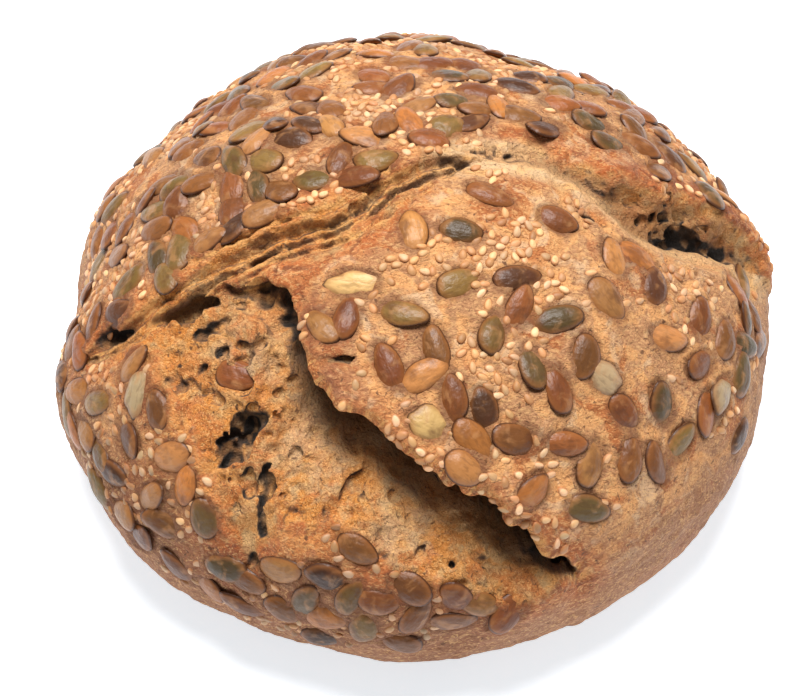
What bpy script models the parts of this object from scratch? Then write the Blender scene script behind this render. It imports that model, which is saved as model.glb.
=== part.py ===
"""A round seeded multigrain loaf whose crust tore open along its scores in the oven."""

import math

import bmesh
import bpy
import numpy as np
import openvdb
from mathutils import Matrix, Vector
from mathutils.bvhtree import BVHTree

# Every size is in millimetres until a finished mesh is scaled to metres.
MM = 0.001

# The dome is round in plan, widest a little above its base, and a bit fuller at the front.
GIRTH_RADIUS = 94.3
GIRTH_HEIGHT = 27.0
LOAF_HEIGHT = 91.0
BASE_RADIUS = 78.0
BASE_SINK = 0.8
DOME_FULLNESS = 1.775
FRONT_FULLNESS = 0.125
NORMAL_SHARE = 0.93

# Places on the crust are (u, v): the dome unrolled flat from its peak, +u right and +v back.
UNROLL_RADIUS = 80.0
MAP_REACH = 156.0
MAP_STEP = 1.0

# Broad swells and hollows of the crust: u, v, radius, height.
SWELLS = (
    (-118, 6, 24, -6.0),
    (-92, 66, 34, -5.0),
    (-60, 86, 22, -1.5),
    (-18, 98, 18, -1.8),
    (42, 92, 26, -4.6),
    (90, 68, 20, -2.2),
    (104, 18, 10, 2.0),
    (114, 30, 12, -2.0),
    (112, -4, 9, -3.4),
    (122, -24, 18, -1.4),
    (-122, -46, 13, 0.8),
    (-98, -90, 22, 1.8),
    (105, -80, 20, -1.0),
    (-50, 20, 26, 1.8),
    (62, 40, 26, 1.6),
    (25, -52, 34, 1.5),
    (-8, -122, 22, 1.5),
    (-84, -66, 20, 1.2),
)
CRUST_LUMP = (1.0, 17.0)
CRUST_RIPPLE = (0.45, 6.5)

# The wide front tear: the lifted lip of the middle plate, then the far side back to its start.
# It is open from where OPENS ends to where CLOSES starts, both in u, and in front of FREE, in v.
FRONT_LIP = (
    (-58, -33), (-44, -34), (-37, -42), (-33, -54), (-28, -67), (-20, -74), (-11, -77),
    (-5, -83), (1, -87), (12, -89), (21, -93), (29, -97), (39, -103), (52, -105.5),
)
FRONT_FAR_SIDE = (
    (42, -107.5), (33, -111), (24, -113.5), (12, -112.5), (0, -110), (-9, -105), (-17, -98),
    (-31, -95.5), (-40, -97), (-47, -101), (-54, -97), (-57, -86), (-60, -76), (-64, -67),
    (-70, -56), (-74, -46), (-84, -39), (-72, -31),
)
# A ledge of shallower crumb at the tear's upper end, and how deep it lies.
FRONT_LEDGE = (
    (-84, -38), (-62, -31), (-49, -42), (-46, -53), (-47, -61), (-48, -68), (-51, -73.5),
    (-59, -72), (-66, -66), (-74, -56), (-86, -46),
)
LEDGE_DEPTH = 2.4
LEDGE_STEP = (1.6, -1.2)
FRONT_OPENS = (-44.0, -30.0)
FRONT_FREE = (-44.0, -62.0)
FRONT_CLOSES = (54.0, 28.0)
FRONT_LIP_LIFT = 5.0
FRONT_LIP_RUN = 11.0
FRONT_DEPTHS = (1.6, 15.0)
FRONT_UNDERCUT = 9.5
FRONT_UNDERCUT_RUN = 14.0
FRONT_CREVICE = 16.0
FRONT_CREVICE_RUN = 6.0
SHUT_SHARE = 0.45

# The narrow stringy tear between the back left plate and the middle one, with its half widths.
RIDGE_TEAR = (
    (-100, -34), (-86, -36), (-70, -33), (-56, -28), (-40, -24), (-22, -20), (-8, -11), (4, -3), (17, 1),
)
RIDGE_HALF_WIDTHS = (1.5, 4.0, 6.0, 8.0, 8.5, 8.0, 8.0, 4.5, 1.5)
RIDGE_DEPTH = 3.4
RIDGE_ROUGH = 0.4
RIDGE_LIP_LIFT = 1.6
RIDGE_LIP_RUN = 5.0
STRING_HEIGHT = 1.3
STRING_SPACING = 4.4
STRING_LENGTH = 20.0
STRING_WANDER = 2.8

# The back right tear: the groove at the foot of the back right plate's torn face, with how far the
# face reaches up behind it, how far the middle plate dips down in front of it, and how deep it lies.
BACK_TEAR = (
    (14, 6), (28, 8), (42, 9), (52, 6.5), (60, 3.5), (67, -1), (73, -4.5), (81, -4.5), (93, 1.5), (101, 5),
    (109, 6.5),
)
BACK_FACE_RUNS = (2.0, 3.0, 3.5, 3.5, 4.5, 8.0, 13.0, 15.0, 10.5, 7.0, 3.5)
BACK_DIP_RUNS = (3.0, 6.0, 8.0, 10.0, 12.0, 13.0, 13.5, 13.0, 12.0, 9.0, 5.0)
BACK_DEPTHS = (1.6, 2.4, 2.8, 3.2, 4.0, 5.5, 7.0, 8.0, 8.5, 7.0, 3.0)
BACK_FACE_TOP = 0.12
BACK_ROUGH_STARTS = (-1.0, 2.0)
BACK_LIP_LIFT = 2.6
BACK_LIP_RUN = 9.0
BACK_LIP_STARTS = (51.0, 65.0)
BACK_LIP_SIDE = (-4.0, 1.0)

LIP_THICKNESS = 5.8
LIP_BACK_SLOPE = 3.0
EDGE_ROUNDING = 1.1
# The lips are rolled over, by this share of their undercut.
LIP_ROUNDING = 0.9
TORN_WANDER = (1.8, 8.0)
# The crumb's relief: lumps, and membranes that stand up as crests; and how rough the back dip is.
CRUMB_LUMP = (1.7, 7.5)
CRUMB_CREST = (2.4, 5.4)
CREST_SINK = 0.5
CALM_SHARE = 0.15

# Large holes in the torn crumb: u, v, depth of the middle, then half sizes along u, v and depth.
HOLES = (
    (-35, -58, 9.5, 4.5, 6.5, 5.5),
    (-30, -62, 11.0, 3.0, 7.0, 6.0),
    (-52, -76, 5.0, 4.0, 5.5, 5.5),
    (-54.5, -74.5, 5.0, 5.4, 1.9, 3.4),
    (-58, -43, 3.0, 2.4, 2.4, 3.2),
    (-65, -45, 3.4, 2.6, 1.8, 3.0),
    (-49, -70, 3.0, 2.0, 1.6, 2.6),
    (-56, -79, 4.0, 2.4, 5.0, 4.6),
    (-44, -88, 4.5, 2.6, 5.0, 3.0),
    (-45, -96, 2.0, 2.0, 4.6, 2.0),
    (-49, -104, 1.0, 2.6, 1.4, 2.0),
    (-18, -92, 6.5, 3.4, 2.4, 2.6),
    (-91, -33, 4.0, 5.5, 3.0, 5.0),
    (-68, -36, 6.5, 8.0, 3.6, 5.5),
    (11, 1, 2.0, 6.5, 1.6, 3.2),
    (-47, -27.5, 3.2, 5.5, 1.0, 2.0),
    (-20.5, -23.5, 3.2, 5.5, 1.1, 2.2),
    (-13, -10, 2.4, 3.2, 1.3, 2.0),
    (54, -11, 1.6, 2.8, 1.2, 2.2),
    (-20, -60.5, 0.8, 3.6, 1.2, 2.6),
    (92, 3, 7.5, 7.0, 3.8, 4.5),
    (84, -2, 7.5, 4.0, 2.0, 3.0),
    (104, 5.5, 5.0, 3.0, 2.4, 3.6),
    (77, 7.5, 2.4, 2.6, 1.3, 2.0),
    (86, 8, 2.4, 2.4, 1.3, 1.8),
)
PORES = 60
PORE_RADIUS = (0.9, 2.2)
PORE_STRETCH = 1.3
PORE_ROOM = 3.0

# Seeds: length, width and thickness, how deep the rim is baked in, and the least gap between middles,
# which is wider between the scattered pumpkin seeds.
PUMPKIN_SEED = (12.4, 7.7, 3.0)
PUMPKIN_SINK = 0.25
PUMPKIN_GAP = 8.2
SCATTER_GAP = 12.0
PUMPKIN_ROOM = 4.5
PUMPKIN_COUNT = 41
SESAME_SEED = (3.4, 2.2, 1.4)
SESAME_SINK = 0.08
SESAME_GAP = 3.6
SESAME_ROOM = 1.5
SESAME_COUNT = 34
# A seed's rings from the rim up: share of the full outline and share of the thickness over the rim.
PUMPKIN_RINGS = ((1.0, 0.0), (0.72, 0.52))
SESAME_RINGS = ((1.0, 0.0),)
SEED_UNDERSIDE = 0.35
SEED_TIP = 0.13
# The crust around a seed is felt at this share of its half width. The seed lies this share of the way
# up to it, or never further down than the drop, and one in the open crumb this far from the highest.
SEED_AROUND = 0.8
SEED_RISE = 0.5
SEED_DROP = 0.3
CRUMB_SEED_RAISE = -0.7
SEED_TILT = math.radians(14)
MOST_LEAN = math.radians(28)
SEED_SEARCH = 2400
SEED_REACH = 136.0
SEED_JITTER = 2.0
GOLDEN_ANGLE = math.pi * (3 - math.sqrt(5))

# How far down the wall seeds reach, measured along the crust, and how that changes round the loaf:
# bearing and spread in degrees, change. They reach lowest at the front left, and stop early at the right.
SEED_LIMIT = 118.0
SEED_LIMIT_CHANGES = ((-112, 38, 17), (-52, 30, -11))

# The share of places that hold a pumpkin seed, and where it is higher or lower: u, v, radius, change.
PUMPKIN_SHARE = 0.3
PUMPKIN_DRIFTS = (
    (-52, 14, 46, 0.5), (-50, -105, 42, 0.7), (-92, -62, 24, 0.5), (0, -122, 30, 0.7), (34, -50, 46, -0.5),
    (100, -20, 22, 0.5),
)
# Places where the crust bears no seeds: u, v, radius.
BARE_PLACES = ((-24, -34, 13), (-6, -22, 10), (8, -12, 10), (-24, -62, 8), (36, -8, 9))

# Sesame lies in drifts about this far across.
SESAME_DRIFT = 17.0

# The pumpkin seeds set by eye, plate by plate: u, v, turn of the long axis in degrees.
MIDDLE_SEEDS = (
    (-17, -41, -10), (-3, -50, -18), (-19, -50, 70), (6, -59, 100), (3, -65, 32), (-7, -63, 110),
    (11, -70, 100), (19, -72, 100), (4, -76, -25), (16, -79, -50), (13, -84, -28), (28, -78, 5),
    (32, -88, 48), (49, -90, 6), (22, -54, 80), (33, -61, 108), (40, -65, 112), (41, -47, 24),
    (48, -55, 94), (54, -59, -12), (30, -46, 75), (30, -38, 20), (13, -41, 28), (14, -25, -6),
    (0, -25, 100), (23, -11, -22), (43, -16, -15), (59, -24, 112), (67, -20, -18), (71, -28, 96),
    (55, -38, -42), (50, -80, 86), (42, -77, 8), (-54, -60, -30),
)
BACK_LEFT_SEEDS = (
    (-93, -4, -31), (-78, -5, -9), (-70, -17, 88), (-86, -19, 24), (-88, -28, -3), (-53, -15, 30),
    (-44, -13, 22), (-47, -2, 100), (-55, 1, 90), (-64, 6, 5), (-30, -4, -4), (-17, -5, -8),
)
BACK_RIGHT_SEEDS = (
    (-2, 57, -24), (12, 48, -24), (-5, 39, 45), (1, 27, 36), (5, 9, -3), (33, 43, -25),
    (33, 26, -15), (41, 21, 30), (55, 30, 5), (70, 27, -10), (46, 36, 0),
)
FRONT_LEFT_SEEDS = (
    (-79, -54, 52), (-81, -46, 25), (-83, -64, 108), (-101, -55, 115), (-90, -70, -48),
    (-77, -80, 3), (-66, -81, 52), (-61, -90, 76), (-94, -50, -15),
)
FRONT_SEEDS = (
    (-16, -103, -38), (-25, -108, 140), (-10, -114, -14), (20, -116, -14), (12, -121, 0),
    (29, -118, 66), (-27, -119, -5), (-39, -106, -6), (-56, -114, 125), (-52, -107, 135),
    (-41, -116, 120), (-15, -121, 80), (1, -118, 60), (-30, -127, -10),
)
RIGHT_SEEDS = (
    (85, -31, 92), (74, -42, 5), (93, -33, 98), (100, -39, 95), (72, -60, 125), (60, -66, -35),
    (87, -56, 98), (79, -67, 70), (62, -76, 100), (71, -75, -40), (92, -49, 70), (103, -55, 75),
)
LEFT_SEEDS = BACK_LEFT_SEEDS + FRONT_LEFT_SEEDS
PLACED_SEEDS = MIDDLE_SEEDS + LEFT_SEEDS + BACK_RIGHT_SEEDS + RIGHT_SEEDS + FRONT_SEEDS

# The body is drawn out of a field at this step, where FAR_OUTSIDE stands for empty space.
VOXEL = 1.7
FAR_OUTSIDE = 6.0
MARGIN = 12.0
BODY_TRIANGLES = 3200
SHARP_ANGLE = math.radians(40)

# Colour as linear RGB.
CRUST_COLOUR = (0.50, 0.29, 0.12)
CRUST_ROUGHNESS = 0.75


def smooth_step(value):
    value = np.clip(value, 0.0, 1.0)
    return value * value * (3.0 - 2.0 * value)


def ramp(value, start, end):
    """Rises softly from zero at start to one at end, and falls where end is the lower."""
    return smooth_step((value - start) / (end - start))


def bump(gap, radius):
    """One at no distance, falling softly to nothing past about twice the radius."""
    return np.exp(-((gap / radius) ** 2))


def smooth_max(a, b, radius):
    """The larger of two distances, with the crease where they meet rounded."""
    blend = np.maximum(radius - np.abs(a - b), 0.0) / radius
    return np.maximum(a, b) + blend * blend * radius * 0.25


LATTICE = np.random.default_rng(11).uniform(-1.0, 1.0, (32, 32, 32)).astype(np.float32)


def noise(x, y, z, size):
    """Smooth noise from -1 to 1 whose bumps are about this size across."""
    cells = []
    for axis in (x, y, z):
        place = axis / size + 96.37
        low = np.floor(place)
        step = smooth_step(place - low)
        low = low.astype(np.int32)
        cells.append(((low & 31, 1.0 - step), ((low + 1) & 31, step)))
    total = 0.0
    for i, weight_i in cells[0]:
        for j, weight_j in cells[1]:
            for k, weight_k in cells[2]:
                total = total + LATTICE[i, j, k] * weight_i * weight_j * weight_k
    return total


def along_line(u, v, points, values=None):
    """Distance to a line, which side of it (+1 left, -1 right), and the values read where it is nearest."""
    values = [0.0] * len(points) if values is None else values
    nearest = np.full(np.shape(u), 1e9)
    side = np.ones(np.shape(u))
    read = np.zeros(np.shape(u))
    for k in range(len(points) - 1):
        start_u, start_v = points[k]
        run_u, run_v = points[k + 1][0] - start_u, points[k + 1][1] - start_v
        share = ((u - start_u) * run_u + (v - start_v) * run_v) / (run_u**2 + run_v**2)
        share = np.clip(share, 0.0, 1.0)
        off_u, off_v = u - start_u - share * run_u, v - start_v - share * run_v
        gap = np.hypot(off_u, off_v)
        closer = gap < nearest
        nearest = np.where(closer, gap, nearest)
        side = np.where(closer, np.sign(run_u * off_v - run_v * off_u), side)
        read = np.where(closer, values[k] + share * (values[k + 1] - values[k]), read)
    return nearest, side, read


def inside_outline(u, v, points):
    inside = np.zeros(np.shape(u), bool)
    for (start_u, start_v), (end_u, end_v) in zip(points, points[1:] + points[:1]):
        if start_v != end_v:
            crosses = (start_v > v) != (end_v > v)
            inside ^= crosses & (u < start_u + (v - start_v) / (end_v - start_v) * (end_u - start_u))
    return inside


def front_tear(u, v):
    """Edge distance, undercut, floor depth and roughness of the front tear, and the crust's lift beside it."""
    to_lip = along_line(u, v, FRONT_LIP[1:])[0]
    to_far = along_line(u, v, FRONT_FAR_SIDE)[0]
    outline = FRONT_LIP + FRONT_FAR_SIDE
    to_edge = along_line(u, v, outline + outline[:1])[0]
    inside = inside_outline(u, v, outline)
    open_share = ramp(u, *FRONT_OPENS) * ramp(u, *FRONT_CLOSES) * ramp(v, *FRONT_FREE)
    shallow, deep = FRONT_DEPTHS
    toward_lip = smooth_step(to_far / (to_far + to_lip + 0.01)) ** 0.8
    floor = shallow + (deep - shallow) * toward_lip * (SHUT_SHARE + (1 - SHUT_SHARE) * open_share)
    floor += FRONT_CREVICE * open_share * bump(to_lip, FRONT_CREVICE_RUN)
    to_step = along_line(u, v, FRONT_LEDGE + FRONT_LEDGE[:1])[0]
    to_step = np.where(inside_outline(u, v, FRONT_LEDGE), -to_step, to_step)
    floor += (LEDGE_DEPTH - floor) * ramp(to_step, *LEDGE_STEP)
    undercut = FRONT_UNDERCUT * open_share * bump(to_lip, FRONT_UNDERCUT_RUN)
    lift = FRONT_LIP_LIFT * open_share * bump(to_lip, FRONT_LIP_RUN) * ~inside
    return np.where(inside, -to_edge, to_edge), undercut, floor, 1 + 0 * u, lift


def ridge_tear(u, v):
    gap, side, half_width = along_line(u, v, RIDGE_TEAR, RIDGE_HALF_WIDTHS)
    wander = STRING_WANDER * noise(u, v, 0 * u, STRING_LENGTH)
    strings = np.cos(2 * math.pi * gap * side / STRING_SPACING + wander)
    floor = RIDGE_DEPTH * smooth_step(0.1 + 0.9 * (1 - gap / half_width)) - STRING_HEIGHT * strings
    lift = RIDGE_LIP_LIFT * bump(gap - half_width, RIDGE_LIP_RUN) * (side > 0)
    return gap - half_width, 0 * u, floor, RIDGE_ROUGH + 0 * u, lift


def back_tear(u, v):
    gap, side, face_run = along_line(u, v, BACK_TEAR, BACK_FACE_RUNS)
    dip_run = along_line(u, v, BACK_TEAR, BACK_DIP_RUNS)[2]
    depth = along_line(u, v, BACK_TEAR, BACK_DEPTHS)[2]
    behind = gap * side
    face = 1 - (1 - BACK_FACE_TOP) * gap / face_run
    floor = depth * np.where(side > 0, np.maximum(face, BACK_FACE_TOP), smooth_step(1 - gap / dip_run))
    rough = CALM_SHARE + (1 - CALM_SHARE) * ramp(behind, *BACK_ROUGH_STARTS)
    beyond = behind - face_run
    lift = BACK_LIP_LIFT * bump(beyond, BACK_LIP_RUN) * ramp(beyond, *BACK_LIP_SIDE)
    edge = gap - np.where(side > 0, face_run, dip_run)
    return edge, 0 * u, floor, rough, lift * ramp(u, *BACK_LIP_STARTS)


def crust_maps():
    """Maps over the unrolled crust: its lift, and what each tear's own function gives."""
    line = np.arange(-MAP_REACH, MAP_REACH + MAP_STEP, MAP_STEP)
    u, v = np.meshgrid(line, line, indexing="ij")
    height, size = TORN_WANDER
    torn_u = u + height * (noise(u, v, 0 * u, size) + 0.5 * noise(u, v, 0 * u + 40, size / 2))
    torn_v = v + height * (noise(u, v, 0 * u + 80, size) + 0.5 * noise(u, v, 0 * u + 120, size / 2))
    tears = [tear(torn_u, torn_v) for tear in (front_tear, ridge_tear, back_tear)]
    lift = sum(tear[4] for tear in tears)
    for at_u, at_v, radius, swell in SWELLS:
        lift = lift + swell * bump(np.hypot(u - at_u, v - at_v), radius)
    return lift, [tear[:4] for tear in tears]


LIFT, TEARS = crust_maps()


def read_map(grid, u, v):
    place_u = np.clip((u + MAP_REACH) / MAP_STEP, 0, grid.shape[0] - 1.001)
    place_v = np.clip((v + MAP_REACH) / MAP_STEP, 0, grid.shape[1] - 1.001)
    i, j = np.int32(place_u), np.int32(place_v)
    share_u, share_v = place_u - i, place_v - j
    low = grid[i, j] * (1 - share_v) + grid[i, j + 1] * share_v
    high = grid[i + 1, j] * (1 - share_v) + grid[i + 1, j + 1] * share_v
    return low * (1 - share_u) + high * share_u


def dome_radius(phi, toward_back):
    """Distance from the middle of the girth to the dome, at an angle phi down from the peak."""
    fullness = DOME_FULLNESS - FRONT_FULLNESS * toward_back
    side, rise = np.sin(phi), np.cos(phi)
    crown = LOAF_HEIGHT - GIRTH_HEIGHT
    upper = (side / GIRTH_RADIUS) ** fullness + (np.maximum(rise, 0) / crown) ** fullness
    upper = upper ** (-1 / fullness)
    belly = GIRTH_RADIUS - BASE_RADIUS
    drop = np.maximum(-rise, 0) / (GIRTH_HEIGHT + BASE_SINK)
    square = (side / belly) ** 2 + drop**2 + 1e-9
    middle = side * BASE_RADIUS / belly**2
    spread = np.maximum(middle**2 - square * ((BASE_RADIUS / belly) ** 2 - 1), 0)
    return np.where(rise >= 0, upper, (middle + np.sqrt(spread)) / square)


def unroll(x, y, z):
    """The place (u, v) on the unrolled crust under or over a point, and its distance outside the dome."""
    reach = np.hypot(x, y) + 1e-6
    rise = z - GIRTH_HEIGHT
    phi = np.arctan2(reach, rise)
    outside = np.hypot(reach, rise) - dome_radius(phi, y / reach)
    scale = UNROLL_RADIUS * phi / reach
    return x * scale, y * scale, outside * NORMAL_SHARE


def outward(u, v):
    """The direction from the middle of the girth through a place on the unrolled crust."""
    reach = math.hypot(u, v) + 1e-6
    phi = reach / UNROLL_RADIUS
    return Vector((u / reach * math.sin(phi), v / reach * math.sin(phi), math.cos(phi)))


def pore_list():
    """Small holes strewn over the floor of the front tear, in the same form as HOLES."""
    rng = np.random.default_rng(5)
    edge, _, floor, _ = TEARS[0]
    outline = np.array(FRONT_LIP + FRONT_FAR_SIDE)
    pores = []
    while len(pores) < PORES:
        u, v = rng.uniform(outline.min(axis=0), outline.max(axis=0))
        if read_map(edge, u, v) < -PORE_ROOM:
            radius = rng.uniform(*PORE_RADIUS)
            long = radius * PORE_STRETCH
            pores.append((u, v, float(read_map(floor, u, v)), long, radius, long))
    return tuple(pores)


ALL_HOLES = HOLES + pore_list()


def loaf_field(x, y, z):
    """Signed distance to the torn loaf, below zero inside."""
    u, v, outside = unroll(x, y, z)
    lump, lump_size = CRUST_LUMP
    ripple, ripple_size = CRUST_RIPPLE
    lift = read_map(LIFT, u, v) + lump * noise(x, y, z, lump_size) + ripple * noise(x, y, z, ripple_size)
    depth = lift - outside
    field = -depth
    crumb, crumb_size = CRUMB_LUMP
    rough = crumb * noise(x, y, z, crumb_size) + 0.5 * crumb * noise(x, y, z, crumb_size / 2)
    crest, crest_size = CRUMB_CREST
    rough += crest * np.abs(noise(x, y, z + 70, crest_size)) - CREST_SINK
    below_lip = ramp(depth, LIP_THICKNESS, LIP_THICKNESS + LIP_BACK_SLOPE)
    for tear in TEARS:
        edge, undercut, floor, share = (read_map(grid, u, v) for grid in tear)
        void = smooth_max(edge - undercut * below_lip, depth - floor - rough * share, EDGE_ROUNDING)
        field = smooth_max(field, -void, EDGE_ROUNDING + LIP_ROUNDING * undercut)
    for at_u, at_v, at_depth, half_u, half_v, half_depth in ALL_HOLES:
        near = (np.abs(u - at_u) < half_u + 3) & (np.abs(v - at_v) < half_v + 3)
        off_u, off_v, off_depth = u[near] - at_u, v[near] - at_v, depth[near] - at_depth
        gap = np.sqrt((off_u / half_u) ** 2 + (off_v / half_v) ** 2 + (off_depth / half_depth) ** 2)
        hole = (gap - 1) * min(half_u, half_v, half_depth)
        field[near] = smooth_max(field[near], -hole, EDGE_ROUNDING)
    return field


def new_mesh_object(name, points, faces, collection):
    mesh = bpy.data.meshes.new(name)
    mesh.from_pydata([tuple(point) for point in points], [], [tuple(face) for face in faces])
    mesh.update()
    made = bpy.data.objects.new(name, mesh)
    collection.objects.link(made)
    return made


def apply_modifier(target, modifier):
    with bpy.context.temp_override(object=target, active_object=target, selected_objects=[target]):
        bpy.ops.object.modifier_apply(modifier=modifier.name)


def drop_bubbles(mesh):
    """Keeps only the skin that the loaf's peak lies on, without any bubble sealed inside."""
    shape = bmesh.new()
    shape.from_mesh(mesh)
    reached = {max(shape.verts, key=lambda vert: vert.co.z)}
    front = list(reached)
    while front:
        vert = front.pop()
        for edge in vert.link_edges:
            other = edge.other_vert(vert)
            if other not in reached:
                reached.add(other)
                front.append(other)
    bmesh.ops.delete(shape, geom=[vert for vert in shape.verts if vert not in reached], context="VERTS")
    shape.to_mesh(mesh)
    shape.free()


def loaf_body():
    """The torn loaf without its seeds, from the field, cut flat at the base."""
    side, foot = GIRTH_RADIUS + MARGIN, -MARGIN
    line = np.arange(-side, side, VOXEL)
    x, y, z = np.meshgrid(line, line, np.arange(foot, LOAF_HEIGHT + MARGIN, VOXEL), indexing="ij")
    grid = openvdb.FloatGrid(FAR_OUTSIDE)
    grid.copyFromArray(loaf_field(x, y, z).astype(np.float32))
    points, quads = grid.convertToQuads()
    points = points * VOXEL + np.array([-side, -side, foot])
    body = new_mesh_object("loaf", points * MM, quads, bpy.context.scene.collection)
    drop_bubbles(body.data)

    shape = bmesh.new()
    shape.from_mesh(body.data)
    everything = shape.verts[:] + shape.edges[:] + shape.faces[:]
    cut = bmesh.ops.bisect_plane(
        shape, geom=everything, plane_co=(0, 0, 0), plane_no=(0, 0, 1), clear_inner=True
    )
    rim = [part for part in cut["geom_cut"] if isinstance(part, bmesh.types.BMEdge)]
    bmesh.ops.holes_fill(shape, edges=rim, sides=0)
    bmesh.ops.triangulate(shape, faces=shape.faces[:])
    bmesh.ops.recalc_face_normals(shape, faces=shape.faces[:])
    shape.to_mesh(body.data)
    shape.free()

    thin = body.modifiers.new("fewer faces", "DECIMATE")
    thin.ratio = BODY_TRIANGLES / len(body.data.polygons)
    apply_modifier(body, thin)
    return body


def seed_mesh(name, size, sides, tip, profile):
    """A seed about the origin, long axis along X: rings from the rim up, and a peak above and below."""
    length, width, thick = size
    shape = bmesh.new()
    rings = []
    for scale, level in profile:
        ring = []
        for k in range(sides):
            turn = 2 * math.pi * k / sides
            across = math.sin(turn) * (1 - tip * math.cos(turn))
            place = (scale * math.cos(turn) * length / 2, scale * across * width / 2, level * thick)
            ring.append(shape.verts.new(Vector(place) * MM))
        rings.append(ring)
    under = shape.verts.new(Vector((0, 0, -SEED_UNDERSIDE * thick)) * MM)
    over = shape.verts.new(Vector((0, 0, (1 - SEED_UNDERSIDE) * thick)) * MM)
    for k in range(sides):
        following = (k + 1) % sides
        shape.faces.new((rings[0][following], rings[0][k], under))
        shape.faces.new((rings[-1][k], rings[-1][following], over))
        for lower, upper in zip(rings, rings[1:]):
            shape.faces.new((lower[k], lower[following], upper[following], upper[k]))
    mesh = bpy.data.meshes.new(name)
    shape.to_mesh(mesh)
    shape.free()
    return mesh


def seed_room(u, v):
    """How far a place lies inside the seeded crust: clear of the tears and above the bare lower wall."""
    clear = min(read_map(tear[0], u, v) for tear in TEARS)
    bearing = math.degrees(math.atan2(v, u))
    limit = SEED_LIMIT
    for at, spread, change in SEED_LIMIT_CHANGES:
        limit += change * bump(bearing - at, spread)
    clear = min([clear] + [math.hypot(u - at_u, v - at_v) - radius for at_u, at_v, radius in BARE_PLACES])
    return min(clear, limit - math.hypot(u, v))


def pumpkin_chance(u, v):
    """The share of places that hold a pumpkin seed."""
    share = PUMPKIN_SHARE
    for at_u, at_v, radius, change in PUMPKIN_DRIFTS:
        share += change * bump(math.hypot(u - at_u, v - at_v), radius)
    return share


def sesame_chance(u, v):
    """The share of places that hold a sesame seed."""
    return 0.05 + 0.9 * smooth_step(0.35 + 1.4 * noise(u, v, 60.0, SESAME_DRIFT))


def seed_places(count, gap, clearance, taken, seed, chance):
    """Places and turns of scattered seeds, each a gap from those already taken."""
    rng = np.random.default_rng(seed)
    places = []
    for number in rng.permutation(SEED_SEARCH):
        reach = SEED_REACH * math.sqrt((number + 0.5) / SEED_SEARCH)
        u = reach * math.cos(number * GOLDEN_ANGLE) + rng.uniform(-SEED_JITTER, SEED_JITTER)
        v = reach * math.sin(number * GOLDEN_ANGLE) + rng.uniform(-SEED_JITTER, SEED_JITTER)
        if rng.uniform() > chance(u, v) or seed_room(u, v) < clearance or len(places) == count:
            continue
        if all(math.hypot(u - other[0], v - other[1]) > room for other, room in taken):
            places.append((u, v, rng.uniform(0, 180)))
            taken.append((places[-1], gap))
    return places


def crust_point(tree, u, v):
    """The outermost point of the body at a place on the unrolled crust."""
    way = outward(u, v)
    middle = Vector((0, 0, GIRTH_HEIGHT * MM))
    return tree.ray_cast(middle + way * 2 * GIRTH_RADIUS * MM, -way)[0]


def lay_seeds(body, mesh, places, size, sink, rng, collection):
    """One object for each place, resting on the body with its long axis turned as given."""
    tree = BVHTree.FromObject(body, bpy.context.evaluated_depsgraph_get())
    span = size[1] / 2
    reach = SEED_AROUND * span
    sides = ((reach, 0), (-reach, 0), (0, reach), (0, -reach))
    for number, (u, v, turn) in enumerate(places):
        along = crust_point(tree, u + span, v) - crust_point(tree, u - span, v)
        aside = crust_point(tree, u, v + span) - crust_point(tree, u, v - span)
        normal = along.cross(aside).normalized()
        plain = outward(u, v)
        lean = normal.angle(plain)
        if lean > MOST_LEAN:
            normal = plain.lerp(normal, MOST_LEAN / lean)
        normal.normalize()
        along = (along - normal * along.dot(normal)).normalized()
        aside = normal.cross(along)
        frame = Matrix((along, aside, normal)).transposed()
        tilt = Matrix.Rotation(rng.uniform(-SEED_TILT, SEED_TILT), 3, "X")
        tilt = tilt @ Matrix.Rotation(rng.uniform(-SEED_TILT, SEED_TILT), 3, "Y")
        frame = frame @ Matrix.Rotation(math.radians(turn), 3, "Z") @ tilt
        centre = crust_point(tree, u, v)
        around = [crust_point(tree, u + off_u, v + off_v) for off_u, off_v in sides]
        heights = [(point - centre).dot(normal) for point in around]
        raised = max(SEED_RISE * sum(heights) / len(heights), -SEED_DROP * MM)
        if seed_room(u, v) < 0:
            raised = max(heights) + CRUMB_SEED_RAISE * MM
        middle = centre + normal * (raised - sink * MM)
        seed = bpy.data.objects.new(f"{mesh.name}_{number}", mesh)
        seed.matrix_world = Matrix.Translation(middle) @ frame.to_4x4()
        collection.objects.link(seed)


def crust_material():
    material = bpy.data.materials.new("baked crust")
    material.use_nodes = True
    shader = material.node_tree.nodes["Principled BSDF"]
    shader.inputs["Base Color"].default_value = (*CRUST_COLOUR, 1.0)
    shader.inputs["Roughness"].default_value = CRUST_ROUGHNESS
    shader.inputs["Metallic"].default_value = 0.0
    return material


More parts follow.
